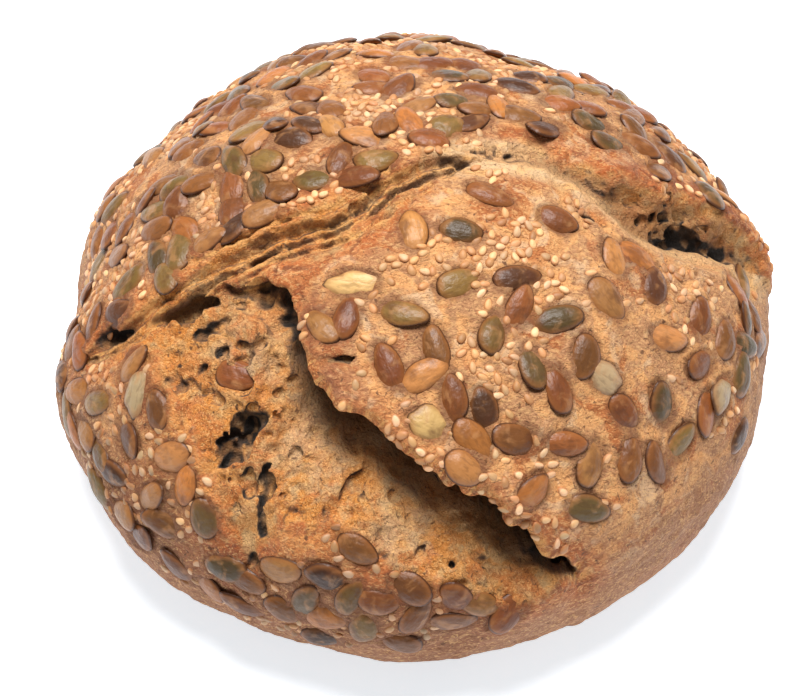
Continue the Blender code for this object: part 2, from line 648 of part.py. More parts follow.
def seeded_loaf():
    """The torn loaf with its seeds fused on, as one solid."""
    body = loaf_body()
    toppings = bpy.data.collections.new("toppings")
    bpy.context.scene.collection.children.link(toppings)
    taken = [((u, v), PUMPKIN_GAP) for u, v, _ in PLACED_SEEDS]
    scattered = seed_places(PUMPKIN_COUNT, SCATTER_GAP, PUMPKIN_ROOM, taken, 21, pumpkin_chance)
    sesame = seed_places(SESAME_COUNT, SESAME_GAP, SESAME_ROOM, taken, 22, sesame_chance)
    rng = np.random.default_rng(23)
    pumpkin_mesh = seed_mesh("pumpkin_seed", PUMPKIN_SEED, 8, SEED_TIP, PUMPKIN_RINGS)
    sesame_mesh = seed_mesh("sesame_seed", SESAME_SEED, 4, SEED_TIP, SESAME_RINGS)
    lay_seeds(body, pumpkin_mesh, list(PLACED_SEEDS) + scattered, PUMPKIN_SEED, PUMPKIN_SINK, rng, toppings)
    lay_seeds(body, sesame_mesh, sesame, SESAME_SEED, SESAME_SINK, rng, toppings)

    fuse = body.modifiers.new("fused seeds", "BOOLEAN")
    fuse.operation = "UNION"
    fuse.operand_type = "COLLECTION"
    fuse.collection = toppings
    fuse.solver = "EXACT"
    apply_modifier(body, fuse)
    drop_bubbles(body.data)
    for seed in list(toppings.objects):
        bpy.data.objects.remove(seed)
    bpy.data.collections.remove(toppings)
    body.data.materials.clear()
    body.data.materials.append(crust_material())
    body.data.shade_smooth()
    body.data.set_sharp_from_angle(angle=SHARP_ANGLE)
    return body


for old in list(bpy.data.objects):
    bpy.data.objects.remove(old)
seeded_loaf()
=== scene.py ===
"""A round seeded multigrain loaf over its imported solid: torn crust, open crumb and baked-on seeds."""

import math

import bpy
import numpy as np
import openvdb
from mathutils import Matrix, Vector
from mathutils.bvhtree import BVHTree


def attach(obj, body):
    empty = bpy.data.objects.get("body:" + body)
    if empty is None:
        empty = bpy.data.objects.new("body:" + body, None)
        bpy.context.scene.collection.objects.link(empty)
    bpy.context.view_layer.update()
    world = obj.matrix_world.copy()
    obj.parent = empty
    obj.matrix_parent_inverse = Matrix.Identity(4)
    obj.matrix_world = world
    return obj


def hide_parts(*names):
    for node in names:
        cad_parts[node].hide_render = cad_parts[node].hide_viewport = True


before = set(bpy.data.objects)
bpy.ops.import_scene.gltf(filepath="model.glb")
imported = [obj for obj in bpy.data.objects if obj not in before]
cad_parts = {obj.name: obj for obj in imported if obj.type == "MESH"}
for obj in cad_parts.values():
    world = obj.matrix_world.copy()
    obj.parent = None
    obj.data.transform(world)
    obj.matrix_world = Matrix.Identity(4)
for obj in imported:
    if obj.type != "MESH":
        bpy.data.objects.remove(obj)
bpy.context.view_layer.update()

# Every size is in millimetres until a finished mesh is scaled to metres.
MM = 0.001

# The solid's dome, repeated so that every surface here lies where the solid's does.
GIRTH_RADIUS = 94.3
GIRTH_HEIGHT = 27.0
LOAF_HEIGHT = 91.0
BASE_RADIUS = 78.0
BASE_SINK = 0.8
DOME_FULLNESS = 1.775
FRONT_FULLNESS = 0.125
NORMAL_SHARE = 0.93

# Places on the crust are (u, v): the dome unrolled flat from its peak, +u right and +v back.
UNROLL_RADIUS = 80.0
MAP_REACH = 156.0
MAP_STEP = 0.5

# Broad swells and hollows of the crust: u, v, radius, height.
SWELLS = (
    (-118, 6, 24, -6.0),
    (-92, 66, 34, -5.0),
    (-60, 86, 22, -1.5),
    (-18, 98, 18, -1.8),
    (42, 92, 26, -4.6),
    (90, 68, 20, -2.2),
    (104, 18, 10, 2.0),
    (114, 30, 12, -2.0),
    (112, -4, 9, -3.4),
    (122, -24, 18, -1.4),
    (-122, -46, 13, 0.8),
    (-98, -90, 22, 1.8),
    (105, -80, 20, -1.0),
    (-50, 20, 26, 1.8),
    (62, 40, 26, 1.6),
    (25, -52, 34, 1.5),
    (-8, -122, 22, 1.5),
    (-84, -66, 20, 1.2),
)

# The wide front tear: the lifted lip of the middle plate, then the far side back to its start.
FRONT_LIP = (
    (-58, -33), (-44, -34), (-37, -42), (-33, -54), (-28, -67), (-20, -74), (-11, -77),
    (-5, -83), (1, -87), (12, -89), (21, -93), (29, -97), (39, -103), (52, -105.5),
)
FRONT_FAR_SIDE = (
    (42, -107.5), (33, -111), (24, -113.5), (12, -112.5), (0, -110), (-9, -105), (-17, -98),
    (-31, -95.5), (-40, -97), (-47, -101), (-54, -97), (-57, -86), (-60, -76), (-64, -67),
    (-70, -56), (-74, -46), (-84, -39), (-72, -31),
)
# A ledge of shallower crumb at the tear's upper end, and how deep it lies.
FRONT_LEDGE = (
    (-84, -38), (-62, -31), (-49, -42), (-46, -53), (-47, -61), (-48, -68), (-51, -73.5),
    (-59, -72), (-66, -66), (-74, -56), (-86, -46),
)
LEDGE_DEPTH = 2.4
LEDGE_STEP = (1.6, -1.2)
FRONT_OPENS = (-44.0, -30.0)
FRONT_FREE = (-44.0, -62.0)
FRONT_CLOSES = (54.0, 28.0)
FRONT_LIP_LIFT = 5.0
FRONT_LIP_RUN = 11.0
FRONT_DEPTHS = (1.6, 15.0)
FRONT_SLOPE = 0.8
FRONT_UNDERCUT = 9.5
FRONT_UNDERCUT_RUN = 14.0
FRONT_CREVICE = 16.0
FRONT_CREVICE_RUN = 6.0
SHUT_SHARE = 0.45

# The narrow stringy tear between the back left plate and the middle one, with its half widths.
RIDGE_TEAR = (
    (-100, -34), (-86, -36), (-70, -33), (-56, -28), (-40, -24), (-22, -20), (-8, -11), (4, -3),
    (17, 1),
)
RIDGE_HALF_WIDTHS = (1.5, 4.0, 6.0, 8.0, 8.5, 8.0, 8.0, 4.5, 1.5)
RIDGE_RUNS = (0, 14, 30, 45, 62, 80, 97, 111, 125)
RIDGE_DEPTH = 3.4
RIDGE_EDGE_SHARE = 0.1
RIDGE_ROUGH = 0.4
RIDGE_LIP_LIFT = 1.6
RIDGE_LIP_RUN = 5.0
STRING_HEIGHT = 1.3
STRING_SPACING = 4.4
STRING_LENGTH = 20.0
STRING_WANDER = 2.8
FIBRE_WANDER = 0.5

# The back right tear: the groove at the foot of the back right plate's torn face, with how far the
# face reaches up behind it, how far the middle plate dips down in front of it, and how deep it lies.
BACK_TEAR = (
    (14, 6), (28, 8), (42, 9), (52, 6.5), (60, 3.5), (67, -1), (73, -4.5), (81, -4.5), (93, 1.5),
    (101, 5), (109, 6.5),
)
BACK_FACE_RUNS = (2.0, 3.0, 3.5, 3.5, 4.5, 8.0, 13.0, 15.0, 10.5, 7.0, 3.5)
BACK_DIP_RUNS = (3.0, 6.0, 8.0, 10.0, 12.0, 13.0, 13.5, 13.0, 12.0, 9.0, 5.0)
BACK_DEPTHS = (1.6, 2.4, 2.8, 3.2, 4.0, 5.5, 7.0, 8.0, 8.5, 7.0, 3.0)
BACK_FACE_TOP = 0.12
BACK_ROUGH_STARTS = (-1.0, 2.0)
BACK_LIP_LIFT = 2.6
BACK_LIP_RUN = 9.0
BACK_LIP_STARTS = (51.0, 65.0)
BACK_LIP_SIDE = (-4.0, 1.0)

LIP_THICKNESS = 5.8
LIP_BACK_SLOPE = 3.0
EDGE_ROUNDING = 0.8
# The lips are rolled over, by this share of their undercut.
LIP_ROUNDING = 0.9

# Relief by noise: height and size, in octaves from the solid's own down to what only shows close to.
CRUST_RELIEF = ((1.0, 17.0), (0.45, 6.5), (0.3, 2.8), (0.24, 1.3))
CRUMB_RELIEF = ((1.7, 7.5), (0.75, 3.75))
# The same for membranes of torn crumb, which stand up as sharp crests.
CREST_RELIEF = ((2.4, 5.4), (1.5, 2.5), (0.8, 1.3))
CREST_MEAN = 1.0
WALL_RELIEF = ((1.0, 3.4), (0.6, 1.6))
# How rough the smooth side of the back tear is.
CALM_SHARE = 0.15
# Crust beside a tear is roughened over this run, by this share of the crumb's crests.
RIM_RUN = 4.0
RIM_ROUGH = 0.6
TORN_WANDER = ((1.8, 8.0), (0.9, 4.0), (0.5, 2.1))
# Fibres drawn out along the narrow tear: height, length, width.
FIBRES = ((0.8, 18.0, 2.2), (0.6, 10.0, 1.1))
# Small pits in the crumb: how deep, how far across, and the noise above which one opens.
PITS = ((1.3, 3.4, 0.46), (0.8, 1.6, 0.46))
PIT_SOFTNESS = 0.3

# Large holes in the torn crumb: u, v, depth of the middle, then half sizes along u, v and depth.
HOLES = (
    (-35, -58, 9.5, 4.5, 6.5, 5.5),
    (-30, -62, 11.0, 3.0, 7.0, 6.0),
    (-52, -76, 5.0, 4.0, 5.5, 5.5),
    (-54.5, -74.5, 5.0, 5.4, 1.9, 3.4),
    (-58, -43, 3.0, 2.4, 2.4, 3.2),
    (-58, -52, 3.0, 1.6, 1.6, 2.6),
    (-65, -45, 3.4, 2.6, 1.8, 3.0),
    (-70, -54, 2.6, 1.6, 1.6, 2.2),
    (-64, -56, 2.6, 1.5, 1.6, 2.4),
    (-49, -70, 3.0, 2.0, 1.6, 2.6),
    (-56, -79, 4.0, 2.4, 5.0, 4.6),
    (-44, -88, 4.5, 2.6, 5.0, 3.0),
    (-45, -96, 2.0, 2.0, 4.6, 2.0),
    (-49, -104, 1.0, 2.6, 1.4, 2.0),
    (-18, -92, 6.5, 3.4, 2.4, 2.6),
    (-91, -33, 4.0, 5.5, 3.0, 5.0),
    (-68, -36, 6.5, 8.0, 3.6, 5.5),
    (11, 1, 2.0, 6.5, 1.6, 3.2),
    (-47, -27.5, 3.2, 5.5, 1.0, 2.0),
    (-20.5, -23.5, 3.2, 5.5, 1.1, 2.2),
    (-13, -10, 2.4, 3.2, 1.3, 2.0),
    (54, -11, 1.6, 2.8, 1.2, 2.2),
    (-20, -60.5, 0.8, 3.6, 1.2, 2.6),
    (92, 3, 7.5, 7.0, 3.8, 4.5),
    (84, -2, 7.5, 4.0, 2.0, 3.0),
    (104, 5.5, 5.0, 3.0, 2.4, 3.6),
    (77, 7.5, 2.4, 2.6, 1.3, 2.0),
    (82, 5, 4.0, 1.6, 1.8, 2.4),
    (75.5, 1, 5.0, 1.4, 1.6, 2.2),
    (86, 8, 2.4, 2.4, 1.3, 1.8),
    (70, 4, 3.0, 1.6, 1.2, 1.8),
)
# How far past its half sizes a hole is still worked out.
HOLE_REACH = 3
PORES = 60
PORE_RADIUS = (0.9, 2.2)
PORE_STRETCH = 1.3
PORE_ROOM = 3.0

# The body is drawn out of a field in blocks of voxels. Only those near the surface are worked out,
# so many voxels at a time.
VOXEL = 0.6
BLOCK = 4
NEAR_SURFACE = 3.4
FAR_OUTSIDE = 6.0
MARGIN = 12.0
BODY_TRIANGLES = 196000
VOXELS_AT_ONCE = 400000

# Seeds: length, width and thickness, how deep the rim is baked in, and the least gap between middles.
PUMPKIN_SEED = (12.4, 7.7, 3.0)
PUMPKIN_SINK = 0.25
PUMPKIN_GAP = 8.2
SCATTER_GAP = 12.0
PUMPKIN_ROOM = 4.5
PUMPKIN_COUNT = 41
EXTRA_PUMPKIN_GAP = 6.6
EXTRA_PUMPKIN_ROOM = 2.0
EXTRA_PUMPKIN_COUNT = 114
EXTRA_PUMPKIN_DRIFTS = (
    (50, 40, 24, 0.5), (80, 34, 20, 0.5), (60, 8, 20, -0.7), (40, -14, 22, -0.6),
    (0, -78, 26, -0.7), (30, -86, 26, -0.7),
)
SESAME_SEED = (3.4, 2.2, 1.4)
SESAME_SINK = 0.08
SESAME_GAP = 3.6
SESAME_ROOM = 1.5
SESAME_COUNT = 34
# How far above the highest crumb around it a seed lies that clings to the open crumb.
CRUMB_SEED_RAISE = -0.7
SEED_TILT = math.radians(14)
MOST_LEAN = math.radians(28)
# How far out, in half widths, the crust is felt for around a seed, how much of its rise there the
# seed follows, and how far it drops at most.
SEED_AROUND = 0.8
SEED_RISE = 0.5
SEED_DROP = 0.3
SEED_SEARCH = 2400
SEED_REACH = 136.0
SEED_JITTER = 2.0
GOLDEN_ANGLE = math.pi * (3 - math.sqrt(5))
SEED_LIMIT = 118.0
SEED_LIMIT_CHANGES = ((-112, 38, 17), (-52, 30, -11))
PUMPKIN_SHARE = 0.3
PUMPKIN_DRIFTS = (
    (-52, 14, 46, 0.5), (-50, -105, 42, 0.7), (-92, -62, 24, 0.5), (0, -122, 30, 0.7),
    (34, -50, 46, -0.5), (100, -20, 22, 0.5),
)
# Places where the crust bears no seeds: u, v, radius.
BARE_PLACES = ((-24, -34, 13), (-6, -22, 10), (8, -12, 10), (-24, -62, 8), (36, -8, 9))
# Sesame lies in drifts of about this size: its least share, how much more there can be, and the
# middle and spread of the noise that decides.
SESAME_DRIFT = 17.0
SESAME_LEAST = 0.05
SESAME_MORE = 0.9
SESAME_NOISE = (0.35, 1.4)
SESAME_DRIFTS = ((-84, -66, 22, 0.7), (-72, -8, 22, 0.4), (-20, -116, 26, 0.3), (62, 30, 30, -0.6))

# Sesame beyond the solid's own lies in clusters: how many, seeds in one, spread, and least gap.
CLUSTERED_SESAME = 900
CLUSTER_SEEDS = (4, 14)
CLUSTER_SPREAD = 3.4
CLUSTER_GAP = 2.3
SESAME_FROM_PUMPKIN = 5.0

# The form of a seed: rings from the peak out, sides, how pointed its tip is, and how full it is.
PUMPKIN_RINGS = (0.3, 0.55, 0.75, 0.88, 0.96, 1.0)
PUMPKIN_FORM = (22, 0.13, 2.6)
SESAME_RINGS = (0.45, 0.75, 0.93, 1.0)
SESAME_FORM = (12, 0.18, 2.2)
SEED_EDGE = 0.75
# Shares of the thickness above and below the rim.
SEED_UPPER = 0.56
SEED_UNDER = 0.38
# How much seeds differ: in size (upward only by a share of that), outline, bend, lumps, shade and
# tint. Broken flakes are more ragged than whole seeds.
PUMPKIN_UNEVEN = 0.14
SESAME_UNEVEN = 0.12
LARGER_SHARE = 0.4
SEED_BENDS = (-0.012, 0.024)
FLAKE_RAGGED = 2.2
WHOLE_RAGGED = 0.5
OUTLINE_LOBES = (2, 3, 5)
FULL_TURN = 6.3
LUMP_HEIGHT = 0.09
LUMP_SIZE = 0.4
LUMP_SPACING = 31
SEED_SHADES = (0.84, 1.14)
SEED_TINT = 0.02
# How far apart the seeds' own coordinates lie, in metres, so that no two have the same grain.
GRAIN_SPACING = 0.05

# The crust around a seed gets a painted contact shade and swells a little: how far that reaches, and how
# high.
COLLAR_RUN = 0.7
COLLAR_SWELL = 0.4
COLLAR_REACH = 3
# How much darker the seeds along the front and the left are made, partly darker baking and partly painted
# shade, and from where to where.
FRONT_BAKE_AND_SHADE = 0.2
BAKED_AND_SHADED_SEEDS_FRONT = (-84, -108)
BAKED_AND_SHADED_SEEDS_LEFT = (-56, -80)
BAKED_AND_SHADED_SEEDS_LEFT_FRONT = (-46, -66)

# Where the surface changes its look, from none to full: by depth, height, distance, u or v.
TORN_DEPTHS = (0.5, 1.7)
TORN_HEIGHTS = (3.0, 8.0)
FULL_DEPTH = 14.0
# How far out from the surface crowding is felt, for the painted shade of nooks and hollows.
NOOK_REACHES = (1.2, 4.0, 10.0)
RIDGE_REACH = 1.6
FRESH_BEHIND = (1.5, -1.0)
FRESH_GAPS = (14.0, 6.0)
FRESH_START_GAPS = (9.0, 4.0)
FRESH_START_ENDS = (50, 36)
BACK_TEAR_STARTS = (-10, 8)
DIP_BEHIND = (2.0, -2.0)
DIP_GAPS = (28.0, 20.0)
RIM_WIDTH = 7.5
# The face's tone is partly its own darker crumb and partly painted shade.
FACE_BEHIND = (0.5, 2.0)
FACE_ENDS = (0.0, -3.0)
FACE_STARTS = (42, 58)
# The groove's tone is painted shade in the crease.
GROOVE_WIDTH = 2.8
GROOVE_STARTS = (26, 44)
GROOVE_DEPTHS = (0.4, 1.6)
WALL_REACHES = (104, 128)
# The crust along the front and the left darkens, partly darker baking and partly painted shade.
BAKED_AND_SHADED_FRONT = (-94, -112)
BAKED_AND_SHADED_FRONT_ENDS = (50, 10)
BAKED_AND_SHADED_LEFT = (-86, -82, 34)
# Painted shade on the crumb below the front lip: how far from the lip, and how deep.
UNDER_GAPS = (16, 5)
UNDER_DEPTHS = (6.5, 9.5)
LIP_WIDTH = 3.2
LIP_DEPTHS = (8.5, 5.5)
STRUNG_EDGES = (1.5, -1.0)
FRINGE_WIDTH = 6.0
FRINGE_DEPTHS = (9.0, 6.0)
FRINGE_SPREAD = 0.5

# Places baked golden, left pale and scorched: u, v, radius.
GOLDEN = (
    (-82, -39, 10), (-70, -44, 9), (-62, -66, 12), (-55, -72, 8), (-45, -64, 6), (-43, -74, 6),
    (-36, -92, 9), (-30, -95, 8), (-17, -94, 8), (8, -106, 8), (-60, -81, 6), (-73, -31, 7),
    (-60, -27, 8), (-50, -24, 8), (-40, -20, 8), (-28, -18, 8),
)
PALE_CRUMB = (
    (-53, -52, 8), (-49, -58, 6), (-34, -82, 9), (-26, -86, 8), (2, -101, 8), (-8, -103, 7),
)
SCORCHED = (
    (-29, -50, 8), (-24, -66, 6), (-16, -75, 4), (68, 11, 6), (82, 16, 7), (94, 14, 7), (-80, -42, 5),
)

# Colours as they look on screen, red, green and blue to 255.
OLIVE = (126, 96, 52)
DARK_OLIVE = (94, 74, 44)
BROWN = (130, 82, 44)
DARK = (86, 54, 34)
REDDISH = (138, 80, 44)
TAN = (184, 126, 72)
ORANGE = (184, 114, 58)
CREAM = (226, 178, 114)
PALE = (196, 166, 124)
SCATTERED_TONES = (OLIVE, DARK_OLIVE, BROWN, DARK, REDDISH, REDDISH, TAN, BROWN, OLIVE, ORANGE)
SESAME_TONES = ((226, 174, 124), (214, 158, 106), (232, 184, 138), (198, 140, 92))
SCREEN_GAMMA = 2.2

# Screen colours of the layers that each material lays one over the other.
CRUST_TONES = {
    "dull": (188, 134, 90), "plain": (222, 158, 98), "toasted": (176, 96, 42),
    # The baked tone is partly darker baking and partly painted shade.
    "floury": (224, 184, 142), "wall": (152, 104, 76), "baked": (138, 84, 50),
    "fresh pale": (230, 194, 148), "fresh gold": (236, 182, 118), "rim": (186, 96, 38),
    "dark rim": (120, 58, 28), "golden": (234, 160, 86), "light strands": (238, 188, 124),
    "scorched": (130, 62, 30), "grain": (120, 70, 36), "cracks": (110, 68, 40),
    # The collar tone is painted contact shade around the seeds; the nook tone is painted shade in the
    # crust's nooks.
    "pits": (96, 60, 36), "collar": (104, 58, 30), "nook": (120, 72, 40),
}
CRUMB_TONES = {
    "plain": (206, 148, 86), "dull": (200, 158, 106), "browned": (218, 142, 66),
    "pale": (204, 164, 124), "toasted": (196, 108, 44), "ridge": (158, 84, 38),
    "golden": (216, 136, 52), "lip": (186, 100, 44), "fresh": (218, 172, 122),
    # The face tone is partly the crumb's own and partly painted shade; the under and groove tones are
    # painted shade.
    "light strands": (242, 192, 124), "dark strands": (132, 82, 42), "face": (150, 108, 70),
    "under": (96, 76, 60), "groove": (104, 76, 52), "ropes": (238, 176, 102),
    # The shaded, hollow and nook tones are painted shade in the crumb's recesses.
    "gaps": (128, 76, 40), "pits": (92, 60, 38), "shaded": (112, 84, 64),
    "hollow": (50, 42, 36), "nook": (84, 60, 44),
}
PUMPKIN_LAYER_TONES = {
    "grain": (74, 46, 28), "worn": (186, 132, 84), "burnt": (92, 52, 32), "edge": (152, 94, 48),
    # The rim tone is partly browning and partly painted contact shade.
    "rim": (66, 36, 22),
}
# The sesame rim tone is partly a brown edge and partly painted contact shade.
SESAME_LAYER_TONES = {"rim": (176, 112, 62), "worn": (214, 152, 92)}

# The pumpkin seeds set one by one, plate by plate: u, v, turn of the long axis in degrees, colour.
MIDDLE_SEEDS = (
    (-17, -41, -10, CREAM), (-3, -50, -18, OLIVE), (-19, -50, 70, REDDISH), (6, -59, 100, BROWN),
    (3, -65, 32, TAN), (-7, -63, 110, REDDISH), (11, -70, 100, REDDISH), (19, -72, 100, DARK),
    (4, -76, -25, CREAM), (16, -79, -50, ORANGE), (13, -84, -28, TAN), (28, -78, 5, BROWN),
    (32, -88, 48, ORANGE), (49, -90, 6, DARK_OLIVE), (22, -54, 80, OLIVE), (33, -61, 108, DARK_OLIVE),
    (40, -65, 112, REDDISH), (41, -47, 24, DARK_OLIVE), (48, -55, 94, BROWN), (54, -59, -12, PALE),
    (30, -46, 75, REDDISH), (30, -38, 20, DARK), (13, -41, 28, OLIVE), (14, -25, -6, DARK_OLIVE),
    (0, -25, 100, TAN), (23, -11, -22, REDDISH), (43, -16, -15, REDDISH), (59, -24, 112, TAN),
    (67, -20, -18, ORANGE), (71, -28, 96, DARK), (55, -38, -42, TAN), (50, -80, 86, TAN),
    (42, -77, 8, REDDISH), (-54, -60, -30, REDDISH),
)
BACK_LEFT_SEEDS = (
    (-93, -4, -31, BROWN), (-78, -5, -9, BROWN), (-70, -17, 88, OLIVE), (-86, -19, 24, OLIVE),
    (-88, -28, -3, DARK), (-53, -15, 30, DARK), (-44, -13, 22, TAN), (-47, -2, 100, DARK_OLIVE),
    (-55, 1, 90, REDDISH), (-64, 6, 5, BROWN), (-30, -4, -4, OLIVE), (-17, -5, -8, REDDISH),
)
BACK_RIGHT_SEEDS = (
    (-2, 57, -24, BROWN), (12, 48, -24, DARK_OLIVE), (-5, 39, 45, REDDISH), (1, 27, 36, TAN),
    (5, 9, -3, REDDISH), (33, 43, -25, DARK), (33, 26, -15, BROWN), (41, 21, 30, DARK),
    (55, 30, 5, DARK_OLIVE), (70, 27, -10, BROWN), (46, 36, 0, REDDISH),
)
FRONT_LEFT_SEEDS = (
    (-79, -54, 52, PALE), (-81, -46, 25, TAN), (-83, -64, 108, BROWN), (-101, -55, 115, TAN),
    (-90, -70, -48, DARK), (-77, -80, 3, TAN), (-66, -81, 52, ORANGE), (-61, -90, 76, DARK_OLIVE),
    (-94, -50, -15, OLIVE),
)
FRONT_SEEDS = (
    (-16, -103, -38, BROWN), (-25, -108, 140, DARK), (-10, -114, -14, REDDISH), (20, -116, -14, TAN),
    (12, -121, 0, BROWN), (29, -118, 66, REDDISH), (-27, -119, -5, ORANGE), (-39, -106, -6, TAN),
    (-56, -114, 125, REDDISH), (-52, -107, 135, BROWN), (-41, -116, 120, BROWN), (-15, -121, 80, OLIVE),
    (1, -118, 60, BROWN), (-30, -127, -10, DARK),
)
RIGHT_SEEDS = (
    (85, -31, 92, REDDISH), (74, -42, 5, TAN), (93, -33, 98, BROWN), (100, -39, 95, DARK_OLIVE),
    (72, -60, 125, DARK_OLIVE), (60, -66, -35, REDDISH), (87, -56, 98, REDDISH), (79, -67, 70, OLIVE),
    (62, -76, 100, BROWN), (71, -75, -40, BROWN), (92, -49, 70, PALE), (103, -55, 75, DARK),
)
LEFT_SEEDS = BACK_LEFT_SEEDS + FRONT_LEFT_SEEDS
PLACED_SEEDS = MIDDLE_SEEDS + LEFT_SEEDS + BACK_RIGHT_SEEDS + RIGHT_SEEDS + FRONT_SEEDS

# The stage: a floor that glows a little, a white room and the photograph's camera.
FLOOR_REACH = 12000.0
FLOOR_TONE = (247, 247, 250)
FLOOR_GLOW = (0.8, 0.92, 1.0, 1.0)
FLOOR_GLOW_STRENGTH = 0.68
ROOM_COLOUR = (1.0, 0.98, 0.97, 1.0)
ROOM_STRENGTH = 0.27
CAMERA_TARGET = Vector((-3.2, -3.0, 20.0)) * MM
CAMERA_DISTANCE = 0.65
CAMERA_ELEVATION = math.radians(53)
CAMERA_LENS = 110.25
CAMERA_SENSOR = 36.0


def smooth_step(value):
    value = np.clip(value, 0.0, 1.0)
    return value * value * (3.0 - 2.0 * value)


def ramp(value, start, end):
    """Rises softly from zero at start to one at end, and falls where end is the lower."""
    return smooth_step((value - start) / (end - start))


def bump(gap, radius):
    """One at no distance, falling softly to nothing past about twice the radius."""
    return np.exp(-((gap / radius) ** 2))


def smooth_max(a, b, radius):
    """The larger of two distances, with the crease where they meet rounded."""
    blend = np.maximum(radius - np.abs(a - b), 0.0) / radius
    return np.maximum(a, b) + blend * blend * radius * 0.25


LATTICE = np.random.default_rng(11).uniform(-1.0, 1.0, (32, 32, 32)).astype(np.float32)


def noise(x, y, z, size):
    """Smooth noise from -1 to 1 whose bumps are about this size across.

    A number added to a coordinate takes the noise from elsewhere."""
    cells = []
    for axis in (x, y, z):
        place = axis / size + 96.37
        low = np.floor(place)
        step = smooth_step(place - low)
        low = low.astype(np.int32)
        cells.append(((low & 31, 1.0 - step), ((low + 1) & 31, step)))
    total = 0.0
    for i, weight_i in cells[0]:
        for j, weight_j in cells[1]:
            for k, weight_k in cells[2]:
                total = total + LATTICE[i, j, k] * weight_i * weight_j * weight_k
    return total


def relief(x, y, z, octaves):
    return sum(height * noise(x, y, z, size) for height, size in octaves)


def along_line(u, v, points, values=None):
    """Distance to a line, its side (+1 left, -1 right), and the values read where it is nearest."""
    values = [0.0] * len(points) if values is None else values
    nearest = np.full(np.shape(u), np.inf)
    side = np.ones(np.shape(u))
    read = np.zeros(np.shape(u))
    for k in range(len(points) - 1):
        start_u, start_v = points[k]
        run_u, run_v = points[k + 1][0] - start_u, points[k + 1][1] - start_v
        share = ((u - start_u) * run_u + (v - start_v) * run_v) / (run_u**2 + run_v**2)
        share = np.clip(share, 0.0, 1.0)
        off_u, off_v = u - start_u - share * run_u, v - start_v - share * run_v
        gap = np.hypot(off_u, off_v)
        closer = gap < nearest
        nearest = np.where(closer, gap, nearest)
        side = np.where(closer, np.sign(run_u * off_v - run_v * off_u), side)
        read = np.where(closer, values[k] + share * (values[k + 1] - values[k]), read)
    return nearest, side, read


def inside_outline(u, v, points):
    """Whether places lie inside a closed outline."""
    inside = np.zeros(np.shape(u), bool)
    for (start_u, start_v), (end_u, end_v) in zip(points, points[1:] + points[:1]):
        if start_v != end_v:
            crosses = (start_v > v) != (end_v > v)
            inside ^= crosses & (u < start_u + (v - start_v) / (end_v - start_v) * (end_u - start_u))
    return inside


def front_tear(u, v):
    """A tear's edge distance, undercut, floor depth and roughness, and the crust's lift beside it."""
    to_lip = along_line(u, v, FRONT_LIP[1:])[0]
    to_far = along_line(u, v, FRONT_FAR_SIDE)[0]
    outline = FRONT_LIP + FRONT_FAR_SIDE
    to_edge = along_line(u, v, outline + outline[:1])[0]
    inside = inside_outline(u, v, outline)
    open_share = ramp(u, *FRONT_OPENS) * ramp(u, *FRONT_CLOSES) * ramp(v, *FRONT_FREE)
    shallow, deep = FRONT_DEPTHS
    toward_lip = smooth_step(to_far / (to_far + to_lip + 0.01)) ** FRONT_SLOPE
    floor = shallow + (deep - shallow) * toward_lip * (SHUT_SHARE + (1 - SHUT_SHARE) * open_share)
    floor += FRONT_CREVICE * open_share * bump(to_lip, FRONT_CREVICE_RUN)
    to_step = along_line(u, v, FRONT_LEDGE + FRONT_LEDGE[:1])[0]
    to_step = np.where(inside_outline(u, v, FRONT_LEDGE), -to_step, to_step)
    floor += (LEDGE_DEPTH - floor) * ramp(to_step, *LEDGE_STEP)
    undercut = FRONT_UNDERCUT * open_share * bump(to_lip, FRONT_UNDERCUT_RUN)
    lift = FRONT_LIP_LIFT * open_share * bump(to_lip, FRONT_LIP_RUN) * ~inside
    return np.where(inside, -to_edge, to_edge), undercut, floor, 1 + 0 * u, lift


def ridge_tear(u, v):
    """The same for the narrow tear, with strings and fibres along it."""
    gap, side, half_width = along_line(u, v, RIDGE_TEAR, RIDGE_HALF_WIDTHS)
    wander = STRING_WANDER * noise(u, v, 0 * u, STRING_LENGTH)
    strings = STRING_HEIGHT * np.cos(2 * math.pi * gap * side / STRING_SPACING + wander)
    run = along_line(u, v, RIDGE_TEAR, RIDGE_RUNS)[2]
    across = gap * side + FIBRE_WANDER * wander
    for height, long, wide in FIBRES:
        strings += height * noise(run * wide / long, across, 0 * u + 12, wide)
    middle = 1 - gap / half_width
    floor = RIDGE_DEPTH * smooth_step(RIDGE_EDGE_SHARE + (1 - RIDGE_EDGE_SHARE) * middle) - strings
    lift = RIDGE_LIP_LIFT * bump(gap - half_width, RIDGE_LIP_RUN) * (side > 0)
    return gap - half_width, 0 * u, floor, RIDGE_ROUGH + 0 * u, lift


def back_tear(u, v):
    """The same for the back right tear, with its groove, sloping face and dip."""
    gap, side, face_run = along_line(u, v, BACK_TEAR, BACK_FACE_RUNS)
    dip_run = along_line(u, v, BACK_TEAR, BACK_DIP_RUNS)[2]
    depth = along_line(u, v, BACK_TEAR, BACK_DEPTHS)[2]
    behind = gap * side
    face = 1 - (1 - BACK_FACE_TOP) * gap / face_run
    floor = depth * np.where(side > 0, np.maximum(face, BACK_FACE_TOP), smooth_step(1 - gap / dip_run))
    rough = CALM_SHARE + (1 - CALM_SHARE) * ramp(behind, *BACK_ROUGH_STARTS)
    beyond = behind - face_run
    lift = BACK_LIP_LIFT * bump(beyond, BACK_LIP_RUN) * ramp(beyond, *BACK_LIP_SIDE)
    edge = gap - np.where(side > 0, face_run, dip_run)
    return edge, 0 * u, floor, rough, lift * ramp(u, *BACK_LIP_STARTS)


